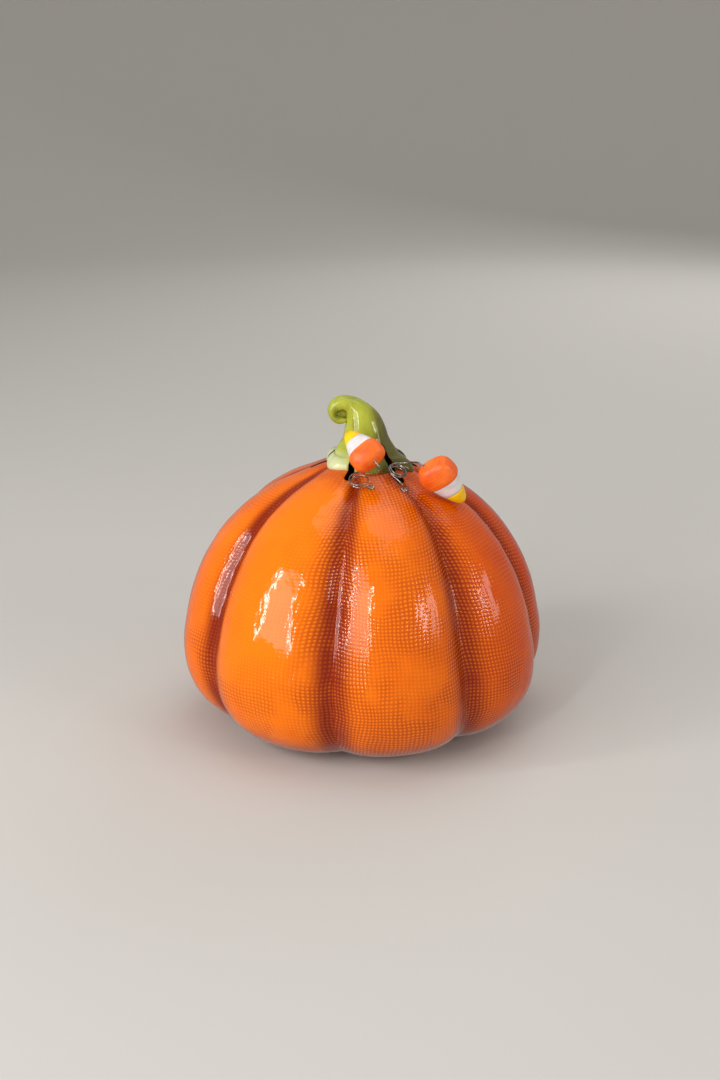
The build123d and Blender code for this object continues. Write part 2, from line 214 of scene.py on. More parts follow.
    # Meridian: radius and height at that way up, and the groove's share of the radius
    curve = add_node(tree, "GeometryNodeObjectInfo", inputs={"Object": given["Meridian"]}).outputs["Geometry"]
    length = add_node(tree, "GeometryNodeCurveLength", inputs={"Curve": curve}).outputs[0]
    sample = add_node(tree, "GeometryNodeSampleCurve", {"mode": "FACTOR"}, {"Curves": curve, "Factor": along})
    point = add_node(tree, "ShaderNodeSeparateXYZ", inputs={0: sample.outputs["Position"]}).outputs
    share = add_node(tree, "ShaderNodeMapRange", {"interpolation_type": "SMOOTHSTEP"}, {
        "Value": point[2], "From Min": GROOVE_DEEPENS[0], "From Max": GROOVE_DEEPENS[1],
        "To Min": given["Groove Share Low"], "To Max": given["Groove Share High"]}).outputs[0]
    cut = add_node(tree, "ShaderNodeMath", {"operation": "MULTIPLY"}, {0: share, 1: hollow}).outputs[0]
    keep = add_node(tree, "ShaderNodeMath", {"operation": "SUBTRACT"}, {0: 1.0, 1: cut}).outputs[0]
    radius = add_node(tree, "ShaderNodeMath", {"operation": "MULTIPLY"}, {0: point[0], 1: keep}).outputs[0]

    # Bearing: each groove leans away from its waist bearing, by the square of the height
    bearing = groove_curve(tree, turn, [0] * LOBES)
    for leans, end in ((FOOT_LEAN, 0.0), (CROWN_LEAN, CROWN_HEIGHT)):
        rise = add_node(tree, "ShaderNodeMapRange", inputs={
            "Value": point[2], "From Min": WAIST_HEIGHT, "From Max": end}).outputs[0]
        strength = add_node(tree, "ShaderNodeMath", {"operation": "POWER"}, {0: rise, 1: 2.0}).outputs[0]
        bearing = add_node(tree, "ShaderNodeMix", {"data_type": "FLOAT"}, {
            "Factor": strength, 2: bearing, 3: groove_curve(tree, turn, leans)}).outputs[0]
    angle = add_node(tree, "ShaderNodeMath", {"operation": "MULTIPLY_ADD"}, {
        0: bearing, 1: radians(BEARING_SPAN), 2: radians(BEARING_START)}).outputs[0]
    forward = add_node(tree, "ShaderNodeMath", {"operation": "MULTIPLY"}, {0: radius, 1: -1.0}).outputs[0]
    arm = add_node(tree, "ShaderNodeCombineXYZ", inputs={1: forward, 2: point[2]}).outputs[0]
    placed = add_node(tree, "ShaderNodeVectorRotate", {"rotation_type": "Z_AXIS"}, {
        "Vector": arm, "Angle": angle}).outputs[0]

    # The cloth's own map, in threads across the lobe and up it
    across = add_node(tree, "ShaderNodeMath", {"operation": "MULTIPLY"}, {
        0: sides[1], 1: point[0]}).outputs[0]
    width = add_node(tree, "ShaderNodeMath", {"operation": "MULTIPLY"}, {0: across, 1: pi / LOBES}).outputs[0]
    upward = add_node(tree, "ShaderNodeMath", {"operation": "MULTIPLY"}, {0: along, 1: length}).outputs[0]
    flat = add_node(tree, "ShaderNodeCombineXYZ", inputs={0: width, 1: upward}).outputs[0]
    threads = add_node(tree, "ShaderNodeVectorMath", {"operation": "DIVIDE"}, {
        0: flat, 1: add_node(tree, "ShaderNodeCombineXYZ", inputs={
            0: given["Thread"], 1: given["Thread"], 2: 1.0}).outputs[0]}).outputs[0]
    skin = grid.outputs["Mesh"]
    for name, kind, domain, value in (
        ("cloth", "FLOAT2", "CORNER", threads),
        ("hollow", "FLOAT", "POINT", hollow),
        ("print", "FLOAT", "POINT", lobe_curve(tree, turn, LOBE_PRINT)),
        # The lobes' red: the glaze's own red, plus painted shade on the right-hand lobes
        ("red", "FLOAT", "POINT", lobe_curve(tree, turn, LOBE_RED_AND_SHADE)),
        ("inside", "FLOAT", "FACE", given["Inside"]),
    ):
        skin = add_node(tree, "GeometryNodeStoreNamedAttribute", {"data_type": kind, "domain": domain}, {
            "Geometry": skin, "Name": name, "Value": value}).outputs[0]
    skin = add_node(tree, "GeometryNodeSetPosition", inputs={"Geometry": skin, "Position": placed}).outputs[0]
    skin = add_node(tree, "GeometryNodeMergeByDistance", inputs={
        "Geometry": skin, "Distance": MERGE}).outputs[0]

    # Unevenness of a hand-finished surface, none on the flat foot
    spot = add_node(tree, "GeometryNodeInputPosition").outputs[0]
    level = add_node(tree, "ShaderNodeSeparateXYZ", inputs={0: spot}).outputs[2]
    lifted = add_node(tree, "ShaderNodeMapRange", {"interpolation_type": "SMOOTHSTEP"}, {
        "Value": level, "From Min": 1.5 * MM, "From Max": 14 * MM}).outputs[0]
    for scale, weight in HAND_WAVES:
        waves = add_node(tree, "ShaderNodeTexNoise", {"noise_dimensions": "4D"}, {
            "Vector": spot, "W": HAND_SEED, "Scale": scale, "Detail": 1.0}).outputs[0]
        swing = add_node(tree, "ShaderNodeMath", {"operation": "MULTIPLY_ADD"}, {
            0: waves, 1: 2.0 * weight, 2: -weight}).outputs[0]
        amount = add_node(tree, "ShaderNodeMath", {"operation": "MULTIPLY"}, {
            0: swing, 1: given["Unevenness"]}).outputs[0]
        gentle = add_node(tree, "ShaderNodeMath", {"operation": "MULTIPLY"}, {
            0: amount, 1: lifted}).outputs[0]
        outward = add_node(tree, "ShaderNodeVectorMath", {"operation": "SCALE"}, {
            0: add_node(tree, "GeometryNodeInputNormal").outputs[0], "Scale": gentle}).outputs[0]
        skin = add_node(tree, "GeometryNodeSetPosition", inputs={
            "Geometry": skin, "Offset": outward}).outputs[0]
    skin = add_node(tree, "GeometryNodeSetShadeSmooth", inputs={0: skin}).outputs[0]
    skin = add_node(tree, "GeometryNodeRealizeInstances", inputs={0: skin}).outputs[0]
    skin = add_node(tree, "GeometryNodeSetMaterial", inputs={
        "Geometry": skin, "Material": given["Glaze"]}).outputs[0]
    add_node(tree, "NodeGroupOutput", inputs={"Skin": skin})
    return tree


def meridian_object(name, stations):
    """A curve through the stations, in the XZ plane, for the tree to follow."""
    curve = bpy.data.curves.new(name, "CURVE")
    curve.dimensions = "3D"
    curve.resolution_u = 32
    spline = curve.splines.new("BEZIER")
    spline.bezier_points.add(len(stations) - 1)
    for point, (radius, height, corner) in zip(spline.bezier_points, stations):
        point.co = (radius * MM, 0, height * MM)
        point.handle_left_type = point.handle_right_type = "VECTOR" if corner == "V" else "AUTO"
    made = bpy.data.objects.new(name, curve)
    bpy.context.collection.objects.link(made)
    return made


def evaluated_mesh(made):
    """The object's mesh with its modifiers applied, as new data."""
    graph = bpy.context.evaluated_depsgraph_get()
    return bpy.data.meshes.new_from_object(made.evaluated_get(graph), depsgraph=graph)


def lobed_skin(name, tree, stations, **sizes):
    """One skin made by the tree, as a plain mesh."""
    carrier = bpy.data.objects.new(name, bpy.data.meshes.new(name))
    bpy.context.collection.objects.link(carrier)
    guide = meridian_object(name + "_meridian", stations)
    sockets = {item.name: item.identifier for item in tree.interface.items_tree if item.in_out == "INPUT"}
    modifier = carrier.modifiers.new("lobed_skin", "NODES")
    modifier.node_group = tree
    modifier[sockets["Meridian"]] = guide
    for label, value in sizes.items():
        modifier[sockets[label.replace("_", " ")]] = value
    mesh = evaluated_mesh(carrier)
    bpy.data.objects.remove(carrier)
    bpy.data.objects.remove(guide)
    return mesh


def circle(radius, count):
    """Points evenly round a circle, as (x, y)."""
    return [(radius * cos(2 * pi * i / count), radius * sin(2 * pi * i / count)) for i in range(count)]


def join_rings(form, ring, after):
    """Adds the band of faces between two rings with as many points each."""
    corners = zip(ring, ring[1:] + ring[:1], after[1:] + after[:1], after)
    return [form.faces.new(four) for four in corners]


def solid_between(form, first, last):
    """Adds the solid between two rings of places."""
    rings = [[form.verts.new(place) for place in ring] for ring in (first, last)]
    join_rings(form, *rings)
    form.faces.new(rings[0][::-1])
    form.faces.new(rings[1])


def bore(form, mouth, outward):
    """Adds a wire's round hole, from just above its mouth down to its depth."""
    turn = outward.to_track_quat("Z", "Y")
    solid_between(form, *(
        [mouth + turn @ Vector((x, y, level)) for x, y in circle(HOLE_RADIUS, HOLE_SIDES)]
        for level in (-HOLE_DEPTH, HOLE_CLEARANCE)))


def arc(centre, radius, first, last, steps):
    """Points along an arc, bearings in degrees."""
    angles = [radians(first + (last - first) * i / steps) for i in range(steps + 1)]
    return [(centre[0] + radius * cos(a), centre[1] + radius * sin(a)) for a in angles]


# Vents: bearing, and how far from the axis the round of the outer end has its middle, in mm.
# Each is a wedge with round ends, cut by hand, so their lengths differ
VENTS = [(-92, 24.5), (-19, 23.0), (43, 26.0), (97, 25.0), (152, 24.5), (210, 25.5)]
VENT_START = 13.6 * MM
VENT_WIDTHS = (1.35 * MM, 1.85 * MM)
VENT_HEIGHTS = (112 * MM, 146 * MM)
DOOR_HALF_WIDTH = 23 * MM
DOOR_SILL = 6 * MM
DOOR_SPRING = 31 * MM
DOOR_DEPTHS = (45 * MM, 105 * MM)
# Painted shade inside the shell, where little light gets in: between the outside's 0 and the 1 of the vents
# and holes, which are the cuts above the shoulder
INSIDE_SHADE = 0.32
SHOULDER_HEIGHT = 105 * MM
HOLE_RADIUS = 1.3 * MM
HOLE_DEPTH = 6 * MM
HOLE_CLEARANCE = 2 * MM
HOLE_SIDES = 20
# Holes for the two wires, in mm, and the way out of each
WIRE_HOLES = [((3.5, -29.3, 126.9), (0.051, -0.427, 0.903)), ((19.2, -25.9, 124.6), (0.256, -0.346, 0.903))]


def vent_outline(bearing, reach):
    """Outline of one vent seen from above."""
    heading = bearing - 90
    outward = Vector((cos(radians(heading)), sin(radians(heading))))
    inner = outward * VENT_START
    outer = outward * (reach * MM)
    narrow, wide = VENT_WIDTHS
    outer_end = arc(outer, wide, heading - 90, heading + 90, 10)
    return outer_end + arc(inner, narrow, heading + 90, heading + 270, 8)


def new_object(name, mesh):
    """Links a mesh into the scene as an object at the origin."""
    made = bpy.data.objects.new(name, mesh)
    bpy.context.collection.objects.link(made)
    return made


def cutter_object(name, form):
    """An object of the form's solids so far, with the shade that each cut leaves."""
    bmesh.ops.recalc_face_normals(form, faces=form.faces)
    mesh = bpy.data.meshes.new(name)
    form.to_mesh(mesh)
    inside = mesh.attributes.new("inside", "FLOAT", "FACE")
    inside.data.foreach_set("value", [
        1.0 if face.center.z > SHOULDER_HEIGHT else INSIDE_SHADE for face in mesh.polygons])
    return new_object(name, mesh)


def cut_away(piece, tool, overlaps=False):
    """Cuts the tool's solids out of the piece, and throws the tool away.

    With overlaps, a piece of overlapping solids is made one first.
    """
    modifier = piece.modifiers.new("cut", "BOOLEAN")
    modifier.operation = "DIFFERENCE"
    modifier.solver = "EXACT"
    modifier.use_self = overlaps
    modifier.object = tool
    mesh = evaluated_mesh(piece)
    piece.modifiers.remove(modifier)
    piece.data = mesh
    bpy.data.objects.remove(tool)


def new_material(name):
    """An empty material, its tree, and the shader that its finish goes on."""
    material = bpy.data.materials.new(name)
    material.use_nodes = True
    material.node_tree.nodes.clear()
    shader = add_node(material.node_tree, "ShaderNodeBsdfPrincipled")
    add_node(material.node_tree, "ShaderNodeOutputMaterial", inputs={"Surface": shader.outputs[0]})
    return material, material.node_tree, shader


# Running orange glaze over a rust wash, on earthenware with a cloth print. Transparent
# glaze is thin and bright on what stands up and pools dark in what lies low, so the
# cloth shows as bright dots between dark threads, under one wet, even gloss.
orange_glaze, glaze_tree, glaze = new_material("running_orange_glaze")
glaze.inputs["Roughness"].default_value = 0.07
glaze.inputs["IOR"].default_value = 1.5
glaze.inputs["Specular IOR Level"].default_value = 0.42
spot = add_node(glaze_tree, "ShaderNodeTexCoord").outputs["Object"]
level = add_node(glaze_tree, "ShaderNodeSeparateXYZ", inputs={0: spot}).outputs[2]
marks = {}
for name in ("hollow", "print", "red", "inside"):
    marks[name] = add_node(glaze_tree, "ShaderNodeAttribute", {"attribute_name": name}).outputs["Fac"]
cloth = add_node(glaze_tree, "ShaderNodeAttribute", {"attribute_name": "cloth"}).outputs["Vector"]
# The cloth was pressed on by hand, so its threads wander by up to a thread or two
for scale, sway in ((38.0, 3.2), (160.0, 0.5)):
    drift = add_node(glaze_tree, "ShaderNodeTexNoise", {"noise_dimensions": "3D"}, {
        "Vector": spot, "Scale": scale, "Detail": 1.0}).outputs["Color"]
    swing = add_node(glaze_tree, "ShaderNodeVectorMath", {"operation": "SUBTRACT"}, {
        0: drift, 1: (0.5, 0.5, 0.5)}).outputs[0]
    cloth = add_node(glaze_tree, "ShaderNodeVectorMath", {"operation": "MULTIPLY_ADD"}, {
        0: swing, 1: (sway, sway, 0.0), 2: cloth}).outputs[0]
threads = add_node(glaze_tree, "ShaderNodeSeparateXYZ", inputs={0: cloth}).outputs
ridges = []
for way in (0, 1):
    phase = add_node(glaze_tree, "ShaderNodeMath", {"operation": "MULTIPLY"}, {
        0: threads[way], 1: 2 * pi}).outputs[0]
    wave = add_node(glaze_tree, "ShaderNodeMath", {"operation": "COSINE"}, {0: phase}).outputs[0]
    ridges.append(add_node(glaze_tree, "ShaderNodeMath", {"operation": "MULTIPLY_ADD"}, {
        0: wave, 1: 0.5, 2: 0.5}).outputs[0])
dots = add_node(glaze_tree, "ShaderNodeMath", {"operation": "MULTIPLY"}, {
    0: ridges[0], 1: ridges[1]}).outputs[0]
# Where the cloth took: in patches, more towards the foot and beside the grooves
patches = add_node(glaze_tree, "ShaderNodeTexNoise", {"noise_dimensions": "3D"}, {
    "Vector": spot, "Scale": 42.0, "Detail": 2.0}).outputs[0]
patch = add_node(glaze_tree, "ShaderNodeMapRange", {"interpolation_type": "SMOOTHSTEP"}, {
    "Value": patches, "From Min": 0.36, "From Max": 0.6, "To Min": 0.3, "To Max": 1.0}).outputs[0]
low = add_node(glaze_tree, "ShaderNodeMapRange", {"interpolation_type": "SMOOTHSTEP"}, {
    "Value": level, "From Min": 34 * MM, "From Max": 62 * MM, "To Min": 0.65, "To Max": 0.0}).outputs[0]
beside = add_node(glaze_tree, "ShaderNodeMapRange", {"interpolation_type": "SMOOTHSTEP"}, {
    "Value": marks["hollow"], "From Min": 0.1, "From Max": 0.4, "To Min": 0.0, "To Max": 0.5}).outputs[0]
took = add_node(glaze_tree, "ShaderNodeMath", {"operation": "ADD"}, {0: marks["print"], 1: low}).outputs[0]
took = add_node(glaze_tree, "ShaderNodeMath", {"operation": "ADD"}, {0: took, 1: beside}).outputs[0]
took = add_node(glaze_tree, "ShaderNodeMath", {"operation": "MULTIPLY", "use_clamp": True}, {
    0: took, 1: patch}).outputs[0]
# Colour: orange to red by lobe, the glaze's red plus painted shade on the right-hand lobes; dark where the
# glaze pools in a groove, and painted shade at the foot
mottle = add_node(glaze_tree, "ShaderNodeTexNoise", {"noise_dimensions": "3D"}, {
    "Vector": spot, "Scale": 55.0, "Detail": 3.0}).outputs[0]
red = add_node(glaze_tree, "ShaderNodeMath", {"operation": "MULTIPLY_ADD"}, {
    0: mottle, 1: 0.5, 2: -0.25}).outputs[0]
red = add_node(glaze_tree, "ShaderNodeMath", {"operation": "ADD", "use_clamp": True}, {
    0: red, 1: marks["red"]}).outputs[0]
tone = add_node(glaze_tree, "ShaderNodeMix", {"data_type": "RGBA"}, {
    "Factor": red, 6: linear("#FF7C00"), 7: linear("#C22E02")}).outputs[2]
pool = add_node(glaze_tree, "ShaderNodeMapRange", {"interpolation_type": "SMOOTHSTEP"}, {
    "Value": marks["hollow"], "From Min": 0.3, "From Max": 0.85, "To Min": 0.0, "To Max": 0.97}).outputs[0]
tone = add_node(glaze_tree, "ShaderNodeMix", {"data_type": "RGBA"}, {
    "Factor": pool, 6: tone, 7: linear("#7C1403")}).outputs[2]
# Painted shade towards the foot, where the body curves under towards the floor
foot = add_node(glaze_tree, "ShaderNodeMapRange", {"interpolation_type": "SMOOTHSTEP"}, {
    "Value": level, "From Min": 2 * MM, "From Max": 20 * MM, "To Min": 0.75, "To Max": 0.0}).outputs[0]
tone = add_node(glaze_tree, "ShaderNodeMix", {"data_type": "RGBA"}, {
    "Factor": foot, 6: tone, 7: linear("#7A1A04")}).outputs[2]
# Round the stem the orange ran thin over the brown wash
crown_wash = add_node(glaze_tree, "ShaderNodeMath", {"operation": "MULTIPLY_ADD"}, {
    0: mottle, 1: 9 * MM, 2: level}).outputs[0]
crown_wash = add_node(glaze_tree, "ShaderNodeMapRange", {"interpolation_type": "SMOOTHSTEP"}, {
    "Value": crown_wash, "From Min": 128 * MM, "From Max": 136 * MM, "To Min": 0.0, "To Max": 0.6}).outputs[0]
tone = add_node(glaze_tree, "ShaderNodeMix", {"data_type": "RGBA"}, {
    "Factor": crown_wash, 6: tone, 7: linear("#B2401A")}).outputs[2]
# Wash left in the thread lines, and glaze thin over the dots
lines = add_node(glaze_tree, "ShaderNodeMath", {"operation": "MULTIPLY_ADD"}, {
    0: dots, 1: -1.25, 2: 1.0}).outputs[0]
lines = add_node(glaze_tree, "ShaderNodeMath", {"operation": "MULTIPLY", "use_clamp": True}, {
    0: lines, 1: took}).outputs[0]
lines = add_node(glaze_tree, "ShaderNodeMath", {"operation": "MULTIPLY"}, {0: lines, 1: 0.56}).outputs[0]
tone = add_node(glaze_tree, "ShaderNodeMix", {"data_type": "RGBA"}, {
    "Factor": lines, 6: tone, 7: linear("#9A2200")}).outputs[2]
bright = add_node(glaze_tree, "ShaderNodeMath", {"operation": "MULTIPLY"}, {0: dots, 1: took}).outputs[0]
bright = add_node(glaze_tree, "ShaderNodeMath", {"operation": "MULTIPLY"}, {0: bright, 1: 0.4}).outputs[0]
tone = add_node(glaze_tree, "ShaderNodeMix", {"data_type": "RGBA"}, {
    "Factor": bright, 6: tone, 7: linear("#FF9418")}).outputs[2]
# Painted shade: the vents and holes dark, and the inside of the shell darker
tone = add_node(glaze_tree, "ShaderNodeMix", {"data_type": "RGBA"}, {
    "Factor": marks["inside"], 6: tone, 7: linear("#2C1008")}).outputs[2]
glaze_tree.links.new(tone, glaze.inputs["Base Color"])
outside = add_node(glaze_tree, "ShaderNodeMath", {"operation": "SUBTRACT"}, {
    0: 1.0, 1: marks["inside"]}).outputs[0]
relief = add_node(glaze_tree, "ShaderNodeMath", {"operation": "MULTIPLY"}, {0: dots, 1: took}).outputs[0]
relief = add_node(glaze_tree, "ShaderNodeMath", {"operation": "MULTIPLY"}, {0: relief, 1: outside}).outputs[0]
weave = add_node(glaze_tree, "ShaderNodeBump", inputs={
    "Strength": 0.8, "Distance": 0.11 * MM, "Height": relief}).outputs[0]
# Runs and sags in the glaze, down the lobes
runs = add_node(glaze_tree, "ShaderNodeMapping", inputs={
    "Vector": spot, "Scale": (130.0, 130.0, 45.0)}).outputs[0]
sags = add_node(glaze_tree, "ShaderNodeTexNoise", {"noise_dimensions": "3D"}, {
    "Vector": runs, "Scale": 1.0, "Detail": 2.0}).outputs[0]
surface = add_node(glaze_tree, "ShaderNodeBump", inputs={
    "Strength": 1.0, "Distance": 0.55 * MM, "Height": sags, "Normal": weave}).outputs[0]
glaze_tree.links.new(surface, glaze.inputs["Normal"])

skin_tree = lobed_skin_tree()
outer_skin = lobed_skin("outer_skin", skin_tree, OUTER_MERIDIAN, Unevenness=0.55 * MM, Glaze=orange_glaze)
inner_skin = lobed_skin(
    "inner_skin", skin_tree, INNER_MERIDIAN, Columns=LOBES * 18, Rows=80, Groove_Rounding=0.25,
    Inside=INSIDE_SHADE, Glaze=orange_glaze)

shell_form = bmesh.new()
shell_form.from_mesh(inner_skin)
bmesh.ops.recalc_face_normals(shell_form, faces=shell_form.faces)
bmesh.ops.reverse_faces(shell_form, faces=shell_form.faces)
outer_form = bmesh.new()
outer_form.from_mesh(outer_skin)
bmesh.ops.recalc_face_normals(outer_form, faces=outer_form.faces)
outer_form.to_mesh(outer_skin)
crown = BVHTree.FromBMesh(outer_form)
outer_form.free()
shell_form.from_mesh(outer_skin)
shell_mesh = bpy.data.meshes.new("pumpkin_shell")
shell_form.to_mesh(shell_mesh)
shell_form.free()
shell_mesh.materials.append(orange_glaze)
pumpkin_shell = new_object("pumpkin_shell", shell_mesh)

cutter = bmesh.new()
for bearing, reach in VENTS:
    vent = vent_outline(bearing, reach)
    solid_between(cutter, *([(x, y, height) for x, y in vent] for height in VENT_HEIGHTS))
# The vents alone are kept as a cutter for the stem's toes
vent_cutter = cutter_object("vent_cutter", cutter)
door = [(-DOOR_HALF_WIDTH, DOOR_SILL), (DOOR_HALF_WIDTH, DOOR_SILL)]
door += arc((0, DOOR_SPRING), DOOR_HALF_WIDTH, 0, 180, 32)
solid_between(cutter, *([(x, depth, z) for x, z in door] for depth in DOOR_DEPTHS))
for hole, outward in WIRE_HOLES:
    bore(cutter, Vector(hole) * MM, Vector(outward))
shell_cutter = cutter_object("shell_cutter", cutter)
cutter.free()
cut_away(pumpkin_shell, shell_cutter)


def crown_height(x, y):
    """Height of the pumpkin's own surface over a place near the stem."""
    above_all = Vector((x, y, 200 * MM))
    return crown.ray_cast(above_all, Vector((0, 0, -1)))[0].z


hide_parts("body_shell")
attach(pumpkin_shell, "pumpkin")

# ======================================================================= stem
# The stem is solid clay, pulled and curled over by hand and luted onto the crown. Its
# foot spreads into toes that lie on the lobes between the vents, all under green glaze.

# The trunk and its curl seen from the front: its outer and its inner edge as (x, z), and
# its half depth, in mm
STEM_EDGES = [
    ((11.9, 144.0), (-9.7, 144.0), 10.6), ((10.7, 148.0), (-9.0, 148.2), 9.8),
    ((9.4, 151.4), (-8.5, 151.4), 9.0), ((7.8, 154.6), (-8.3, 153.6), 8.2),
    ((5.3, 157.6), (-8.2, 155.2), 7.3), ((1.9, 160.4), (-8.5, 156.2), 6.3),
    ((-2.5, 162.9), (-9.1, 156.9), 5.4), ((-7.3, 164.4), (-10.1, 157.3), 4.6),
    ((-11.6, 164.3), (-11.3, 156.9), 4.1), ((-15.2, 162.4), (-12.4, 156.7), 3.8),
    ((-17.3, 158.9), (-13.2, 156.0), 3.5), ((-17.0, 155.0), (-13.3, 155.0), 3.2),
    ((-15.2, 152.1), (-12.7, 154.3), 2.8), ((-12.7, 150.7), (-11.6, 154.0), 2.4),
    ((-10.3, 150.8), (-10.3, 153.9), 2.0), ((-8.6, 151.4), (-9.2, 153.6), 1.5),
]
STEM_TIP = (-7.9, 152.8)
# Clay that closes the back of the curl: its middle and its reach each way
CURL_WEB = ((-11.0, 0.9, 155.0), (3.6, 1.5, 2.8))
# Reach of the toes at bearings from the front towards +X, longest in the middle of each
# toe and shortest at the vents on its sides
TOE_REACH = [
    (-92, 18.6), (-55.5, 20.8), (-19, 18.4), (12, 20.6), (43, 19.4), (70, 24.4), (97, 19.6),
    (124.5, 23.2), (152, 19.2), (181, 23.4), (210, 19.4), (239, 21.8), (268, 18.6),
]
# Control rings of the toes: radius against the toe's reach, and height over the pumpkin
TOE_RINGS = [(-3.2, -1.6), (-0.5, -0.5), (0.1, 1.2), (-0.9, 3.0), (-3.4, 4.5)]
# Control rings of the neck: radius, height, and how much of the toes' spread it keeps
NECK_RINGS = [(15.2, 136.6, 0.25), (12.6, 140.6, 0.0)]
TOE_MEAN = 20
# Soft ridges run up from the toes, and fade out over this many rings of the trunk
RIDGES = 6
RIDGE_TURN = radians(25)
RIDGE_FADE = 6
NECK_RIDGE = 0.035
TRUNK_RIDGE = 0.03
# The curl turns a little towards the front as it winds in, from this ring on
CURL_START = 6
CURL_RINGS = 8
CURL_FORWARD = 1.6
STEM_FOOT = 128.5
STEM_X = 1.1
STEM_COLUMNS = 96
RINGS_PER_STEP = 7


def smooth_between(table, place):
    """Value of a table at a place, eased between its entries."""
    for (low, first), (high, second) in zip(table, table[1:]):
        if low <= place <= high:
            share = (place - low) / (high - low)
            return first + (second - first) * (0.5 - 0.5 * cos(pi * share))


def stem_ring(level, angle):
    """Point of one of the stem's control rings, at an angle from +X towards +Y."""
    first = TOE_REACH[0][0]
    bearing = (90 + angle * 180 / pi - first) % 360 + first
    reach = smooth_between(TOE_REACH, bearing)
    flat = Vector((cos(angle), sin(angle), 0))
    middle = Vector((STEM_X, 0, 0))
    if level < len(TOE_RINGS):
        offset, above = TOE_RINGS[level]
        place = (middle + flat * (reach + offset)) * MM
        return Vector((place.x, place.y, crown_height(place.x, place.y) + above * MM))
    level -= len(TOE_RINGS)
    wave = cos(RIDGES * angle - RIDGE_TURN)
    if level < len(NECK_RINGS):
        radius, height, kept = NECK_RINGS[level]
        spread = (reach - TOE_MEAN) * kept
        return (middle + flat * (radius + spread) * (1 + NECK_RIDGE * wave) + Vector((0, 0, height))) * MM
    level -= len(NECK_RINGS)
    (outer_x, outer_z), (inner_x, inner_z), depth = STEM_EDGES[level]
    outer, inner = Vector((outer_x, 0, outer_z)), Vector((inner_x, 0, inner_z))
    ridge = 1 + TRUNK_RIDGE * max(0.0, 1 - level / RIDGE_FADE) * wave
    forward = Vector((0, -CURL_FORWARD * max(0.0, (level - CURL_START) / CURL_RINGS), 0))
    half = (outer - inner) / 2 * cos(angle) + Vector((0, depth * sin(angle), 0))
    return ((outer + inner) / 2 + half * ridge + forward) * MM


def closed_mesh(name, form):
    """The form as a mesh, smooth and facing outwards."""
    bmesh.ops.recalc_face_normals(form, faces=form.faces)
    for face in form.faces:
        face.smooth = True
    mesh = bpy.data.meshes.new(name)
    form.to_mesh(mesh)
    form.free()
    return mesh


def stem_mesh():
    """The stem as one closed skin, smooth through its control rings."""
    levels = len(TOE_RINGS) + len(NECK_RINGS) + len(STEM_EDGES)
    columns = []
    for i in range(STEM_COLUMNS):
        angle = 2 * pi * i / STEM_COLUMNS
        marks = [stem_ring(level, angle) for level in range(levels)]
        marks = [marks[0] * 2 - marks[1]] + marks + [marks[-1] * 2 - marks[-2]]
        column = []
        for before, first, second, after in zip(marks, marks[1:], marks[2:], marks[3:]):
            for step in range(RINGS_PER_STEP):
                t = step / RINGS_PER_STEP
                column.append((first * 2 + (second - before) * t
                               + (before * 2 - first * 5 + second * 4 - after) * t * t
                               + (first * 3 - before - second * 3 + after) * t ** 3) / 2)
        columns.append(column + [marks[-2]])
    form = bmesh.new()
    rows = len(columns[0])
    skin = [[form.verts.new(point) for point in column] for column in columns]
    for left, right in zip(skin, skin[1:] + skin[:1]):
        for row in range(rows - 1):
            form.faces.new((left[row], right[row], right[row + 1], left[row + 1]))
    foot = form.verts.new((STEM_X * MM, 0, STEM_FOOT * MM))
    last = sum((column[-1] for column in columns), Vector()) / STEM_COLUMNS
    end = Vector((STEM_TIP[0] * MM, last.y, STEM_TIP[1] * MM))
    ring = [column[-1] for column in skin]
    # The end of the curl closes in two smaller rings and a point
    for share in (0.45, 0.8):
        cap = [form.verts.new(vert.co.lerp(last, share ** 2) + (end - last) * share) for vert in ring]
        join_rings(form, ring, cap)
        ring = cap
    point = form.verts.new(end)
    for i in range(STEM_COLUMNS):
        j = (i + 1) % STEM_COLUMNS
        form.faces.new((ring[i], ring[j], point))
        form.faces.new((skin[j][0], skin[i][0], foot))
    web = bmesh.ops.create_uvsphere(form, u_segments=24, v_segments=12, radius=1)["verts"]
    for vert in web:
        vert.co = Vector([
            (middle + part * reach) * MM for middle, part, reach in zip(CURL_WEB[0], vert.co, CURL_WEB[1])])
    return closed_mesh("stem", form)


# Transparent green glaze over a brown wash: yellow-lime where it is thin, olive and brown where it pools at
# the toes, and darker down the right side, partly the wash and partly painted shade, with one wet gloss
green_glaze, stem_tree, stem_finish = new_material("streaked_green_glaze")
stem_finish.inputs["Roughness"].default_value = 0.1
stem_finish.inputs["IOR"].default_value = 1.52
stem_spot = add_node(stem_tree, "ShaderNodeTexCoord").outputs["Object"]
stem_place = add_node(stem_tree, "ShaderNodeSeparateXYZ", inputs={0: stem_spot}).outputs
stem_inside = add_node(stem_tree, "ShaderNodeAttribute", {"attribute_name": "inside"}).outputs["Fac"]
streak_map = add_node(stem_tree, "ShaderNodeMapping", inputs={
    "Vector": stem_spot, "Scale": (260.0, 260.0, 70.0)}).outputs[0]
streaks = add_node(stem_tree, "ShaderNodeTexNoise", inputs={
    "Vector": streak_map, "Scale": 1.0, "Detail": 3.0}).outputs[0]
clouds = add_node(stem_tree, "ShaderNodeTexNoise", inputs={
    "Vector": stem_spot, "Scale": 130.0, "Detail": 2.0}).outputs[0]
lime = add_node(stem_tree, "ShaderNodeMix", {"data_type": "RGBA"}, {
    "Factor": clouds, 6: linear("#8F9C1E"), 7: linear("#C2C24A")}).outputs[2]
wash = add_node(stem_tree, "ShaderNodeMapRange", {"interpolation_type": "SMOOTHSTEP"}, {
    "Value": streaks, "From Min": 0.42, "From Max": 0.8, "To Min": 0.0, "To Max": 0.6}).outputs[0]
lime = add_node(stem_tree, "ShaderNodeMix", {"data_type": "RGBA"}, {
    "Factor": wash, 6: lime, 7: linear("#6C6C1C")}).outputs[2]
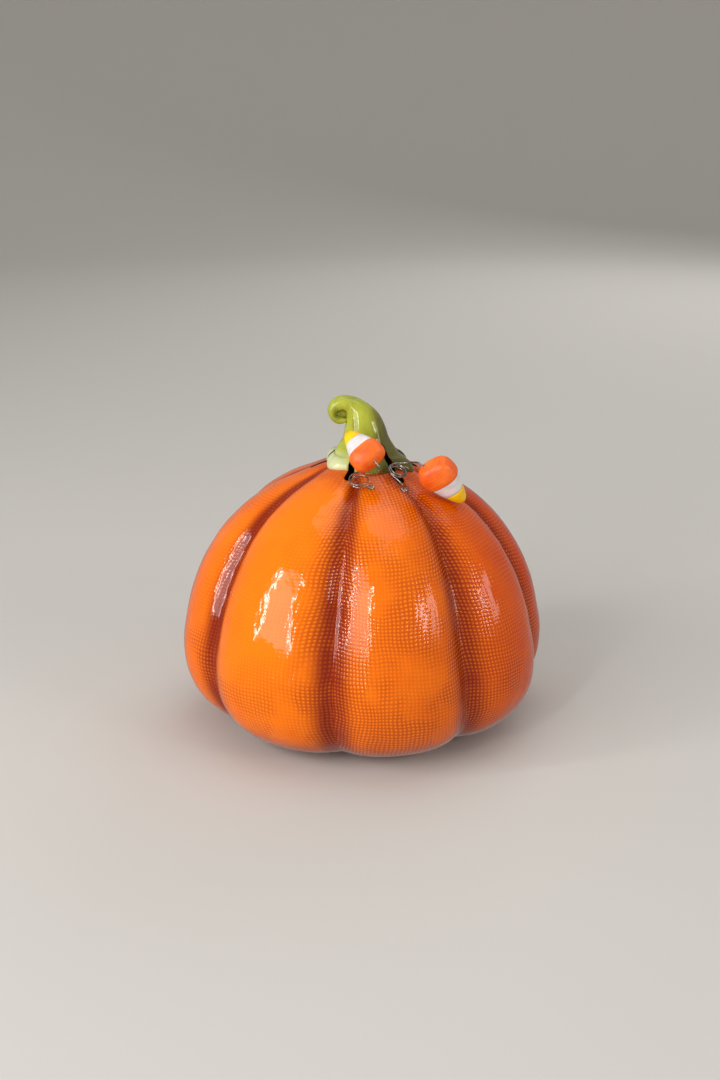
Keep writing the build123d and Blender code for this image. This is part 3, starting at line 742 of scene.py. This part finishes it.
# Brown-olive down the right of the trunk and its toes: partly the wash showing through, partly painted shade
# on the side away from the key light
right = add_node(stem_tree, "ShaderNodeMath", {"operation": "MULTIPLY_ADD"}, {
    0: clouds, 1: 9 * MM, 2: stem_place[0]}).outputs[0]
right = add_node(stem_tree, "ShaderNodeMapRange", {"interpolation_type": "SMOOTHSTEP"}, {
    "Value": right, "From Min": 5 * MM, "From Max": 15 * MM, "To Min": 0.0, "To Max": 0.9}).outputs[0]
lime = add_node(stem_tree, "ShaderNodeMix", {"data_type": "RGBA"}, {
    "Factor": right, 6: lime, 7: linear("#4E4610")}).outputs[2]
# Paler and milky on the left toes, low down
toe_height = add_node(stem_tree, "ShaderNodeMapRange", {"interpolation_type": "SMOOTHSTEP"}, {
    "Value": stem_place[2], "From Min": 134 * MM, "From Max": 140 * MM,
    "To Min": 1.0, "To Max": 0.0}).outputs[0]
toe_left = add_node(stem_tree, "ShaderNodeMapRange", {"interpolation_type": "SMOOTHSTEP"}, {
    "Value": stem_place[0], "From Min": -14 * MM, "From Max": 0.0, "To Min": 0.75, "To Max": 0.0}).outputs[0]
milky = add_node(stem_tree, "ShaderNodeMath", {"operation": "MULTIPLY"}, {
    0: toe_height, 1: toe_left}).outputs[0]
lime = add_node(stem_tree, "ShaderNodeMix", {"data_type": "RGBA"}, {
    "Factor": milky, 6: lime, 7: linear("#DADFB4")}).outputs[2]
# Painted shade on the vents' walls, where they cut through the toes
lime = add_node(stem_tree, "ShaderNodeMix", {"data_type": "RGBA"}, {
    "Factor": stem_inside, 6: lime, 7: linear("#2A1108")}).outputs[2]
stem_tree.links.new(lime, stem_finish.inputs["Base Color"])
stem_bump = add_node(stem_tree, "ShaderNodeBump", inputs={
    "Strength": 1.0, "Distance": 0.2 * MM, "Height": streaks}).outputs[0]
stem_tree.links.new(stem_bump, stem_finish.inputs["Normal"])

curled_stem = new_object("curled_stem", stem_mesh())
curled_stem.data.materials.append(green_glaze)
cut_away(curled_stem, vent_cutter, overlaps=True)
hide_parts("stem")
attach(curled_stem, "pumpkin")

# ======================================================================= candy corns
# Two candy corns of three colours of polymer clay, rolled, pressed together, baked hard
# and bored at the wide end. Each hangs on its wire over the crown of the pumpkin.

# Rounded sections from the wide end: way along, width and thickness, in mm
CORN_SECTIONS = {
    "base": [
        (-0.15, 5.0, 3.0), (0.0, 9.0, 5.6), (0.45, 12.6, 8.2), (1.3, 15.0, 10.0), (2.6, 16.9, 11.5),
        (4.4, 18.0, 12.5), (6.6, 18.3, 13.1), (8.8, 18.0, 13.0), (10.3, 17.4, 12.7), (11.1, 16.8, 12.3),
        (11.5, 16.0, 11.6), (11.55, 13.0, 9.0),
    ],
    "band": [
        (11.2, 13.0, 9.0), (11.25, 15.9, 11.5), (13.0, 14.9, 10.9), (15.3, 13.4, 10.2), (17.8, 11.6, 9.3),
        (18.9, 10.7, 8.8), (19.05, 8.0, 6.4),
    ],
    "tip": [
        (18.85, 8.0, 6.4), (18.9, 10.5, 8.7), (20.0, 9.9, 8.4), (21.7, 8.8, 7.7), (23.5, 7.3, 6.7),
        (25.2, 5.6, 5.4), (26.3, 3.9, 3.8), (26.9, 2.2, 2.1), (27.05, 0.9, 0.9),
    ],
}
# Each corn: the middle of its wide end, the ways to its tip and across its width, its size
# along and across, and where its bore opens. Rolled by hand, so the left came out smaller
CORNS = {
    "left_corn": {
        "start": (4.8, -30.3, 138.8), "tip": (-0.569, 0.660, 0.492), "width": (0.765, 0.204, 0.611),
        "size": (0.82, 0.94), "bore": (1.0, -1.3)},
    "right_corn": {
        "start": (30.9, -29.9, 138.1), "tip": (0.630, 0.245, -0.737), "width": (0.772, -0.303, 0.559),
        "size": (1.0, 1.0), "bore": (-2.6, -0.2)},
}
CORN_LENGTH = 27
CORN_COLUMNS = 56
CORN_SQUARENESS = 2.7


def corn_frame(corn):
    """Start, way along, way across and way through of a corn."""
    start, tip, width = (Vector(CORNS[corn][key]) for key in ("start", "tip", "width"))
    tip.normalize()
    width = (width - tip * width.dot(tip)).normalized()
    return start, tip, width, tip.cross(width)


def corn_mesh(corn, colour):
    """One colour of a corn: rounded rings along its axis, with a map of its surface."""
    start, tip, width, through = corn_frame(corn)
    along, across = CORNS[corn]["size"]
    form = bmesh.new()
    surface = form.loops.layers.uv.new("clay")
    rings = []
    for reach, wide, thick in CORN_SECTIONS[colour]:
        ring = []
        for i in range(CORN_COLUMNS):
            angle = 2 * pi * i / CORN_COLUMNS
            turn = (cos(angle), sin(angle))
            power = 2 / CORN_SQUARENESS
            flat = [abs(part) ** power * (1 if part > 0 else -1) for part in turn]
            # A finger's unevenness, a few tenths of a millimetre, its own on each corn
            spot = Vector((turn[0] * 1.6, turn[1] * 1.6, reach * 0.16 + len(corn)))
            bump = 1 + 0.022 * noise.noise(spot)
            place = start + tip * (reach * along)
            place += (width * flat[0] * wide + through * flat[1] * thick) / 2 * across * bump
            ring.append(form.verts.new(place * MM))
        rings.append(ring)
    for row, (ring, after) in enumerate(zip(rings, rings[1:])):
        for i, face in enumerate(join_rings(form, ring, after)):
            corners = ((i, row), (i + 1, row), (i + 1, row + 1), (i, row + 1))
            for loop, (column, level) in zip(face.loops, corners):
                reach = CORN_SECTIONS[colour][level][0]
                loop[surface].uv = (column / CORN_COLUMNS, reach / CORN_LENGTH)
    for ring in (rings[0], rings[-1]):
        middle = form.verts.new(sum((vert.co for vert in ring), Vector()) / CORN_COLUMNS)
        for i in range(CORN_COLUMNS):
            form.faces.new((ring[i], ring[(i + 1) % CORN_COLUMNS], middle))
    return closed_mesh(corn + "_" + colour, form)


def clay_finish(name, light, dark):
    """Baked polymer clay: satin, a little waxy, with fine smoothing strokes round it."""
    material, tree, shader = new_material(name)
    shader.inputs["Roughness"].default_value = 0.38
    shader.inputs["IOR"].default_value = 1.48
    shader.inputs["Subsurface Weight"].default_value = 0.12
    shader.inputs["Subsurface Radius"].default_value = (1.2, 0.7, 0.4)
    shader.inputs["Subsurface Scale"].default_value = 1.0 * MM
    clay_map = add_node(tree, "ShaderNodeUVMap", {"uv_map": "clay"}).outputs[0]
    strokes_map = add_node(tree, "ShaderNodeMapping", inputs={
        "Vector": clay_map, "Scale": (5.0, 95.0, 1.0)}).outputs[0]
    strokes = add_node(tree, "ShaderNodeTexNoise", {"noise_dimensions": "2D"}, {
        "Vector": strokes_map, "Scale": 1.0, "Detail": 3.0}).outputs[0]
    clay_spot = add_node(tree, "ShaderNodeTexCoord").outputs["Object"]
    thumbs = add_node(tree, "ShaderNodeTexNoise", inputs={
        "Vector": clay_spot, "Scale": 120.0, "Detail": 2.0}).outputs[0]
    blend = add_node(tree, "ShaderNodeMath", {"operation": "MULTIPLY_ADD"}, {
        0: strokes, 1: 0.7, 2: -0.35}).outputs[0]
    blend = add_node(tree, "ShaderNodeMath", {"operation": "ADD"}, {0: blend, 1: thumbs}).outputs[0]
    spread = add_node(tree, "ShaderNodeMapRange", {"interpolation_type": "SMOOTHSTEP"}, {
        "Value": blend, "From Min": 0.25, "From Max": 0.75}).outputs[0]
    colour = add_node(tree, "ShaderNodeMix", {"data_type": "RGBA"}, {
        "Factor": spread, 6: linear(dark), 7: linear(light)}).outputs[2]
    tree.links.new(colour, shader.inputs["Base Color"])
    grooves = add_node(tree, "ShaderNodeBump", inputs={
        "Strength": 0.6, "Distance": 0.12 * MM, "Height": strokes}).outputs[0]
    tree.links.new(grooves, shader.inputs["Normal"])
    return material


CLAYS = {
    "base": ("orange_clay", clay_finish("satin_orange_clay", "#FF7A24", "#EA560E")),
    "band": ("white_clay", clay_finish("satin_white_clay", "#EEE8E6", "#CFC6C8")),
    "tip": ("yellow_clay", clay_finish("satin_yellow_clay", "#FFD206", "#EEB000")),
}
for corn in CORNS:
    for colour, (slot, clay) in CLAYS.items():
        piece = new_object(corn + "_" + colour + "_clay", corn_mesh(corn, colour))
        piece.data.materials.append(clay)
        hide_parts(corn + "_" + colour)
        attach(piece, corn)

# ======================================================================= wires and glue
# Each corn hangs on 0.7 mm soft steel wire, curled round a rod. Its ends are set in clear
# glue, in a small hole in the pumpkin's shoulder and in the bore of the corn.

# Each wire: its hole and the way out of it, its curl's middle, two ways, radius, first and
# last bearing and rise, the points that lead into the curl and out of it, in mm, and its corn
WIRES = {
    "left_wire": {
        "hole": WIRE_HOLES[0], "centre": (-2, -27.6, 128.6), "across": (0.994, 0, 0.105),
        "uphill": (-0.038, 0.933, 0.358), "radius": 4.7, "bearings": (-35, -630), "rise": 2.5,
        "lead_in": [],
        "lead_out": [(1.2, -22.8, 131.6), (4.8, -25.2, 132.3), (7.4, -28.6, 133.5), (7.9, -31.9, 135.9)],
        "corn": "left_corn"},
    "right_wire": {
        "hole": WIRE_HOLES[1], "centre": (15.8, -19.8, 131.2), "across": (0.952, 0.111, -0.285),
        "uphill": (0, 0.914, 0.406), "radius": 4.3, "bearings": (-150, -1340), "rise": 2.4,
        "lead_in": [(17.6, -26.6, 128.4)],
        "lead_out": [(22.6, -18.6, 135.8), (24.3, -23.5, 137.6)],
        "corn": "right_corn"},
}
WIRE_RADIUS = 0.35
POINTS_PER_TURN = 12
LOOSENESS = 0.08
# How deep each end is set, and how far it runs straight outside its hole or bore, in mm
HOLE_END = (4, 1.2)
CORN_END = (4.5, 2.2)
# Radius, depth and dome of the glue in the pumpkin's holes and in the corns' bores, in mm
HOLE_GLUE = (1.2, 4.6, 0.35)
CORN_GLUE = (0.8, 5.0, 0.3)
GLUE_SIDES = 24


def corn_mouth(corn):
    """Mouth of the wire's bore in a corn, and the way into it."""
    start, tip, width, through = corn_frame(corn)
    across, deep = CORNS[corn]["bore"]
    return start + width * across + through * deep, tip


def wire_points(wire):
    """The wire's points from its hole, round its curl and into the corn, in mm."""
    facts = WIRES[wire]
    hole, outward = (Vector(value) for value in facts["hole"])
    centre, across, uphill = (Vector(facts[key]) for key in ("centre", "across", "uphill"))
    first, last = facts["bearings"]
    lift = across.cross(uphill)
    points = [hole - outward * HOLE_END[0], hole + outward * HOLE_END[1]]
    points += [Vector(point) for point in facts["lead_in"]]
    count = ceil(abs(last - first) / 360 * POINTS_PER_TURN)
    for i in range(count + 1):
        share = i / count
        angle = radians(first + (last - first) * share)
        # Turns of hand-curled wire differ a little in size
        loose = facts["radius"] * (1 + LOOSENESS * sin(angle * 0.37))
        turn = (across * cos(angle) + uphill * sin(angle)) * loose
        points.append(centre + turn + lift * (facts["rise"] * share))
    points += [Vector(point) for point in facts["lead_out"]]
    mouth, tip = corn_mouth(facts["corn"])
    return points + [mouth - tip * CORN_END[1], mouth + tip * CORN_END[0]]


def wire_mesh(name, points):
    """Round wire along one smooth line through the points."""
    curve = bpy.data.curves.new(name, "CURVE")
    curve.dimensions = "3D"
    curve.resolution_u = 8
    curve.bevel_depth = WIRE_RADIUS * MM
    curve.bevel_resolution = 3
    curve.use_fill_caps = True
    spline = curve.splines.new("NURBS")
    spline.points.add(len(points) - 1)
    for point, place in zip(spline.points, points):
        point.co = (*(place * MM), 1)
    spline.order_u = 3
    spline.use_endpoint_u = True
    carrier = bpy.data.objects.new(name, curve)
    bpy.context.collection.objects.link(carrier)
    mesh = evaluated_mesh(carrier)
    bpy.data.objects.remove(carrier)
    for face in mesh.polygons:
        face.use_smooth = True
    return mesh


def bead_mesh(name, mouth, outward, sizes):
    """A bead of glue: a plug that fills its hole and a low dome over the mouth."""
    radius, depth, dome = sizes
    turn = outward.to_track_quat("Z", "Y")
    profile = [(0, -depth), (radius * 0.8, -depth), (radius * 0.8, -0.1), (radius * 1.25, 0.0)]
    profile += [(radius * 1.25 * cos(a), dome * sin(a)) for a in (radians(15 * i) for i in range(1, 7))]
    form = bmesh.new()
    rings = []
    for reach, level in profile:
        rings.append([form.verts.new((mouth + turn @ Vector((x, y, level))) * MM)
                      for x, y in circle(reach, GLUE_SIDES)])
    for ring, after in zip(rings, rings[1:]):
        join_rings(form, ring, after)
    bmesh.ops.remove_doubles(form, verts=form.verts, dist=0.001 * MM)
    return closed_mesh(name, form)


# Soft annealed steel wire, drawn and then dulled by handling: grey metal with brown
# tarnish in patches and a broken, narrow shine along its length
wire_steel, wire_tree, wire_finish = new_material("tarnished_steel_wire")
wire_finish.inputs["Metallic"].default_value = 1.0
wire_spot = add_node(wire_tree, "ShaderNodeTexCoord").outputs["Object"]
tarnish = add_node(wire_tree, "ShaderNodeTexNoise", inputs={
    "Vector": wire_spot, "Scale": 420.0, "Detail": 3.0}).outputs[0]
wire_tree.links.new(add_node(wire_tree, "ShaderNodeMix", {"data_type": "RGBA"}, {
    "Factor": tarnish, 6: linear("#C9C6C2"), 7: linear("#6A5E52")}).outputs[2],
    wire_finish.inputs["Base Color"])
wire_tree.links.new(add_node(wire_tree, "ShaderNodeMapRange", inputs={
    "Value": tarnish, "From Min": 0.3, "From Max": 0.7, "To Min": 0.18, "To Max": 0.42}).outputs[0],
    wire_finish.inputs["Roughness"])

# Clear epoxy glue, set hard: glassy, a little yellow, with what is behind it showing dark
clear_glue, glue_tree, glue_finish = new_material("clear_epoxy_glue")
glue_finish.inputs["Roughness"].default_value = 0.06
glue_finish.inputs["IOR"].default_value = 1.5
glue_finish.inputs["Transmission Weight"].default_value = 0.75
glue_spot = add_node(glue_tree, "ShaderNodeTexCoord").outputs["Object"]
glue_clouds = add_node(glue_tree, "ShaderNodeTexNoise", inputs={
    "Vector": glue_spot, "Scale": 900.0}).outputs[0]
glue_tree.links.new(add_node(glue_tree, "ShaderNodeMix", {"data_type": "RGBA"}, {
    "Factor": glue_clouds, 6: linear("#E8D9BE"), 7: linear("#FFF6E6")}).outputs[2],
    glue_finish.inputs["Base Color"])

for wire, facts in WIRES.items():
    corn = facts["corn"]
    hole, outward = (Vector(value) for value in facts["hole"])
    mouth, tip = corn_mouth(corn)
    piece = new_object(wire + "_curl", wire_mesh(wire + "_curl", wire_points(wire)))
    piece.data.materials.append(wire_steel)
    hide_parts(wire)
    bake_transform(piece)
    for name, node, body, place, sizes in (
        (wire + "_glue", wire + "_anchor", "pumpkin", (hole, outward), HOLE_GLUE),
        (corn + "_glue_bead", corn + "_glue", corn, (mouth, -tip), CORN_GLUE),
    ):
        bead = new_object(name, bead_mesh(name, *place, sizes))
        bead.data.materials.append(clear_glue)
        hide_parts(node)
        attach(bead, body)

# ======================================================================= tealight
# A loose paraffin tealight stands on the floor of the lantern, where the doorway at the
# back lets a hand in: a pressed foil cup, poured wax, a cotton wick and its tin foot.

CUP_CENTRE = (0.0, 8.0)
CUP_BOTTOM = 6.3
# Flutes round the foil's wall: how many, how deep, and the heights they fade in and out at
FLUTES = 40
FLUTE_DEPTH = 0.22
FLUTE_FOOT = 1.5
FLUTE_TOP = 14.2
CUP_INSIDE = 17


def turned(name, profile, columns, ripple=None):
    """A closed skin turned round the tealight's axis.

    The profile is radius and height over the bottom of the cup, in mm.
    """
    form = bmesh.new()
    rings = []
    for radius, height in profile:
        ring = []
        for i in range(columns):
            angle = 2 * pi * i / columns
            reach = radius + (ripple(angle, radius, height) if ripple else 0)
            x, y = CUP_CENTRE[0] + reach * cos(angle), CUP_CENTRE[1] + reach * sin(angle)
            ring.append(form.verts.new((x * MM, y * MM, (CUP_BOTTOM + height) * MM)))
        rings.append(ring)
    for ring, after in zip(rings, rings[1:]):
        join_rings(form, ring, after)
    bmesh.ops.remove_doubles(form, verts=form.verts, dist=0.001 * MM)
    return closed_mesh(name, form)


def cup_ripple(angle, radius, height):
    """Flutes pressed into the foil's wall, none at its foot and its rolled rim."""
    if radius <= CUP_INSIDE:
        return 0
    fade_in = max(0.0, min(1.0, (height - FLUTE_FOOT) / 3))
    fade_out = max(0.0, min(1.0, (FLUTE_TOP - height) / 2))
    return FLUTE_DEPTH * fade_in * fade_out * cos(FLUTES * angle)


# Bright pressed aluminium foil: mirror-like with a soft dent or two
foil, foil_tree, foil_finish = new_material("pressed_aluminium_foil")
foil_finish.inputs["Metallic"].default_value = 1.0
foil_finish.inputs["Roughness"].default_value = 0.24
foil_spot = add_node(foil_tree, "ShaderNodeTexCoord").outputs["Object"]
foil_dents = add_node(foil_tree, "ShaderNodeTexNoise", inputs={
    "Vector": foil_spot, "Scale": 160.0, "Detail": 2.0}).outputs[0]
foil_tree.links.new(add_node(foil_tree, "ShaderNodeMix", {"data_type": "RGBA"}, {
    "Factor": foil_dents, 6: linear("#D9DADC"), 7: linear("#EFEFEF")}).outputs[2],
    foil_finish.inputs["Base Color"])
foil_tree.links.new(add_node(foil_tree, "ShaderNodeBump", inputs={
    "Strength": 0.5, "Distance": 0.2 * MM, "Height": foil_dents}).outputs[0], foil_finish.inputs["Normal"])

# Poured white paraffin: milky, light goes a little way in, with a faint frosted mottle
wax, wax_tree, wax_finish = new_material("poured_paraffin_wax")
wax_finish.inputs["Roughness"].default_value = 0.42
wax_finish.inputs["IOR"].default_value = 1.44
wax_finish.inputs["Subsurface Weight"].default_value = 0.4
wax_finish.inputs["Subsurface Radius"].default_value = (2.4, 2.0, 1.6)
wax_finish.inputs["Subsurface Scale"].default_value = 1.0 * MM
wax_spot = add_node(wax_tree, "ShaderNodeTexCoord").outputs["Object"]
frost = add_node(wax_tree, "ShaderNodeTexNoise", inputs={
    "Vector": wax_spot, "Scale": 300.0, "Detail": 3.0}).outputs[0]
wax_tree.links.new(add_node(wax_tree, "ShaderNodeMix", {"data_type": "RGBA"}, {
    "Factor": frost, 6: linear("#E6E0D2"), 7: linear("#F6F2E8")}).outputs[2],
    wax_finish.inputs["Base Color"])
wax_tree.links.new(add_node(wax_tree, "ShaderNodeBump", inputs={
    "Strength": 0.4, "Distance": 0.1 * MM, "Height": frost}).outputs[0], wax_finish.inputs["Normal"])

# Waxed braided cotton: off-white, matt, with the strands of the braid winding up it
cotton, cotton_tree, cotton_finish = new_material("waxed_cotton_braid")
cotton_finish.inputs["Roughness"].default_value = 0.75
cotton_spot = add_node(cotton_tree, "ShaderNodeTexCoord").outputs["Object"]
braid = add_node(cotton_tree, "ShaderNodeTexWave", {"bands_direction": "DIAGONAL"}, {
    "Vector": cotton_spot, "Scale": 900.0, "Distortion": 0.5}).outputs["Fac"]
cotton_tree.links.new(add_node(cotton_tree, "ShaderNodeMix", {"data_type": "RGBA"}, {
    "Factor": braid, 6: linear("#B8AC94"), 7: linear("#F0E8D6")}).outputs[2],
    cotton_finish.inputs["Base Color"])
cotton_tree.links.new(add_node(cotton_tree, "ShaderNodeBump", inputs={
    "Strength": 0.6, "Distance": 0.08 * MM, "Height": braid}).outputs[0], cotton_finish.inputs["Normal"])

# Stamped tinplate: thin bright sheet steel, with the press's turning marks
tinplate, tin_tree, tin_finish = new_material("stamped_tinplate")
tin_finish.inputs["Metallic"].default_value = 1.0
tin_finish.inputs["Roughness"].default_value = 0.3
tin_spot = add_node(tin_tree, "ShaderNodeTexCoord").outputs["Object"]
tin_marks = add_node(tin_tree, "ShaderNodeTexNoise", inputs={
    "Vector": tin_spot, "Scale": 600.0, "Detail": 2.0}).outputs[0]
tin_tree.links.new(add_node(tin_tree, "ShaderNodeMix", {"data_type": "RGBA"}, {
    "Factor": tin_marks, 6: linear("#A8A8A6"), 7: linear("#D6D6D4")}).outputs[2],
    tin_finish.inputs["Base Color"])

# Each part of the tealight: its piece's name, slot, finish, columns, ripple and profile
TEALIGHT = {
    "tealight_cup": ("fluted_foil_cup", "aluminium_foil", foil, 240, cup_ripple, [
        (0, 0), (17.6, 0), (18.5, 0.25), (18.9, 1.0), (18.95, 3), (19.0, 6), (19.0, 10), (19.0, 14.3),
        (19.3, 14.8), (19.6, 15.1), (19.5, 15.5), (19.0, 15.5), (18.6, 15.1), (18.5, 14.4), (18.5, 10),
        (18.5, 6), (18.45, 3), (18.3, 1.1), (17.6, 0.5), (0, 0.5)]),
    "tealight_wax": ("poured_wax", "wax", wax, 96, None, [
        (0, 0.5), (17.6, 0.52), (18.2, 1.2), (18.2, 11.2), (18.25, 12.4), (17.9, 12.1), (17.0, 11.85),
        (14.0, 11.8), (9.5, 11.75), (7.5, 11.45), (3.0, 11.3), (1.0, 11.35), (0.72, 11.6), (0, 11.6)]),
    "wick_sustainer": ("tin_wick_foot", "tinplate", tinplate, 64, None, [
        (0, 0.5), (6.3, 0.5), (6.5, 0.6), (6.5, 0.8), (6.3, 0.9), (0, 0.9)]),
    "tealight_wick": ("braided_wick", "waxed_cotton", cotton, 24, None, [
        (0, 0.9), (0.68, 0.95), (0.7, 6), (0.7, 12), (0.72, 15), (0.66, 17.6), (0.5, 18.1), (0.2, 18.3),
        (0, 18.3)]),
}
for node, (name, slot, finish, columns, ripple, profile) in TEALIGHT.items():
    piece = new_object(name, turned(name, profile, columns, ripple))
    piece.data.materials.append(finish)
    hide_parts(node)
    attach(piece, "tealight")

# ======================================================================= studio
# The pumpkin stands on a plain pale paper sweep that rises far off on all sides. A wide,
# soft, window-like key is up on the left, small soft lights are on the right, and weak ones
# are overhead and behind.

FLOOR_MIDDLE = 0.25
FLOOR_FLAT = 1.7
FLOOR_RISE = 1.1
WALL_TOP = 1.5
SWEEP_SIDES = 96


def sweep_mesh():
    """A flat round floor whose edge curves up into a wall, faces upwards."""
    profile = [(FLOOR_MIDDLE, 0.0), (FLOOR_FLAT, 0.0)]
    profile += [(FLOOR_FLAT + FLOOR_RISE * sin(a), FLOOR_RISE * (1 - cos(a)))
                for a in (radians(6 * i) for i in range(1, 16))]
    profile.append((FLOOR_FLAT + FLOOR_RISE, WALL_TOP))
    form = bmesh.new()
    middle = form.verts.new((0, 0, 0))
    rings = []
    for radius, height in profile:
        rings.append([form.verts.new((x, y, height)) for x, y in circle(radius, SWEEP_SIDES)])
    for i in range(SWEEP_SIDES):
        j = (i + 1) % SWEEP_SIDES
        form.faces.new((middle, rings[0][i], rings[0][j]))
        for inner, outer in zip(rings, rings[1:]):
            form.faces.new((inner[i], outer[i], outer[j], inner[j]))
    mesh = bpy.data.meshes.new("floor_sweep")
    form.to_mesh(mesh)
    form.free()
    return mesh


# Matt white-grey paper: no gloss, so it gives the object one quiet surrounding
paper, _, paper_finish = new_material("matt_sweep_paper")
paper_finish.inputs["Base Color"].default_value = linear("#C8C5C0")
paper_finish.inputs["Roughness"].default_value = 0.9
paper_finish.inputs["Specular IOR Level"].default_value = 0.2
floor_sweep = new_object("floor_sweep", sweep_mesh())
floor_sweep.data.materials.append(paper)
for face in floor_sweep.data.polygons:
    face.use_smooth = True
# The paper is not mirrored in the glaze, which would look washed out
floor_sweep.visible_glossy = False

world = bpy.data.worlds.new("studio")
bpy.context.scene.world = world
world.use_nodes = True
backdrop = world.node_tree.nodes["Background"]
backdrop.inputs["Color"].default_value = linear("#F4F1EC")
backdrop.inputs["Strength"].default_value = 0.36

CENTRE = Vector((0, 0, 0.08))


def soft_light(name, direction, distance, width, height, radiance, colour="#FFFFFF"):
    """An area light of the given radiance that faces the pumpkin."""
    lamp = bpy.data.lights.new(name, "AREA")
    lamp.shape = "RECTANGLE"
    lamp.size = width
    lamp.size_y = height
    lamp.energy = radiance * pi * width * height
    lamp.color = linear(colour)[:3]
    made = bpy.data.objects.new(name, lamp)
    bpy.context.collection.objects.link(made)
    made.location = CENTRE + Vector(direction).normalized() * distance
    made.rotation_euler = (CENTRE - made.location).to_track_quat("-Z", "Y").to_euler()
    made.visible_camera = False
    return made


# Name, direction, distance, width, height and radiance of each light
soft_light("key_window", (-0.69, -0.61, 0.38), 1.2, 1.0, 0.85, 3.0)
soft_light("key_left_frame", (-0.92, -0.36, 0.36), 1.2, 0.05, 0.8, 24.0)
soft_light("key_right_frame", (-0.40, -0.84, 0.37), 1.2, 0.05, 0.8, 24.0)
soft_light("front_right", (0.72, -0.58, 0.38), 1.3, 0.30, 0.3, 9.0)
soft_light("side_right", (0.90, -0.29, 0.31), 1.3, 0.3, 0.5, 3.5)
soft_light("overhead", (0.1, 0.1, 1.0), 1.3, 0.9, 0.9, 1.0)
# A ceiling bounce that evens out the sweep, and leaves no reflection of its own
ceiling = soft_light("ceiling_bounce", (0.0, 0.01, 1.0), 2.6, 3.6, 3.6, 0.28)
ceiling.visible_glossy = False
# A soft fill behind, so the doorway and the back lobes are not left in the dark
back_fill = soft_light("back_fill", (0.45, 0.85, 0.42), 1.7, 1.2, 0.8, 2.2)
back_fill.visible_glossy = False

# The camera stands some 0.78 m off, looks down 18.5 degrees and has a normal lens
camera = bpy.data.objects.new("camera", bpy.data.cameras.new("camera"))
bpy.context.collection.objects.link(camera)
camera.location = (-0.00175, -0.7112, 0.3285)
camera.rotation_euler = (radians(71.5), 0, 0)
camera.data.lens = 50
camera.data.sensor_width = 36
camera.data.clip_start = 0.01
bpy.context.scene.camera = camera
bpy.context.scene.view_settings.view_transform = "Standard"
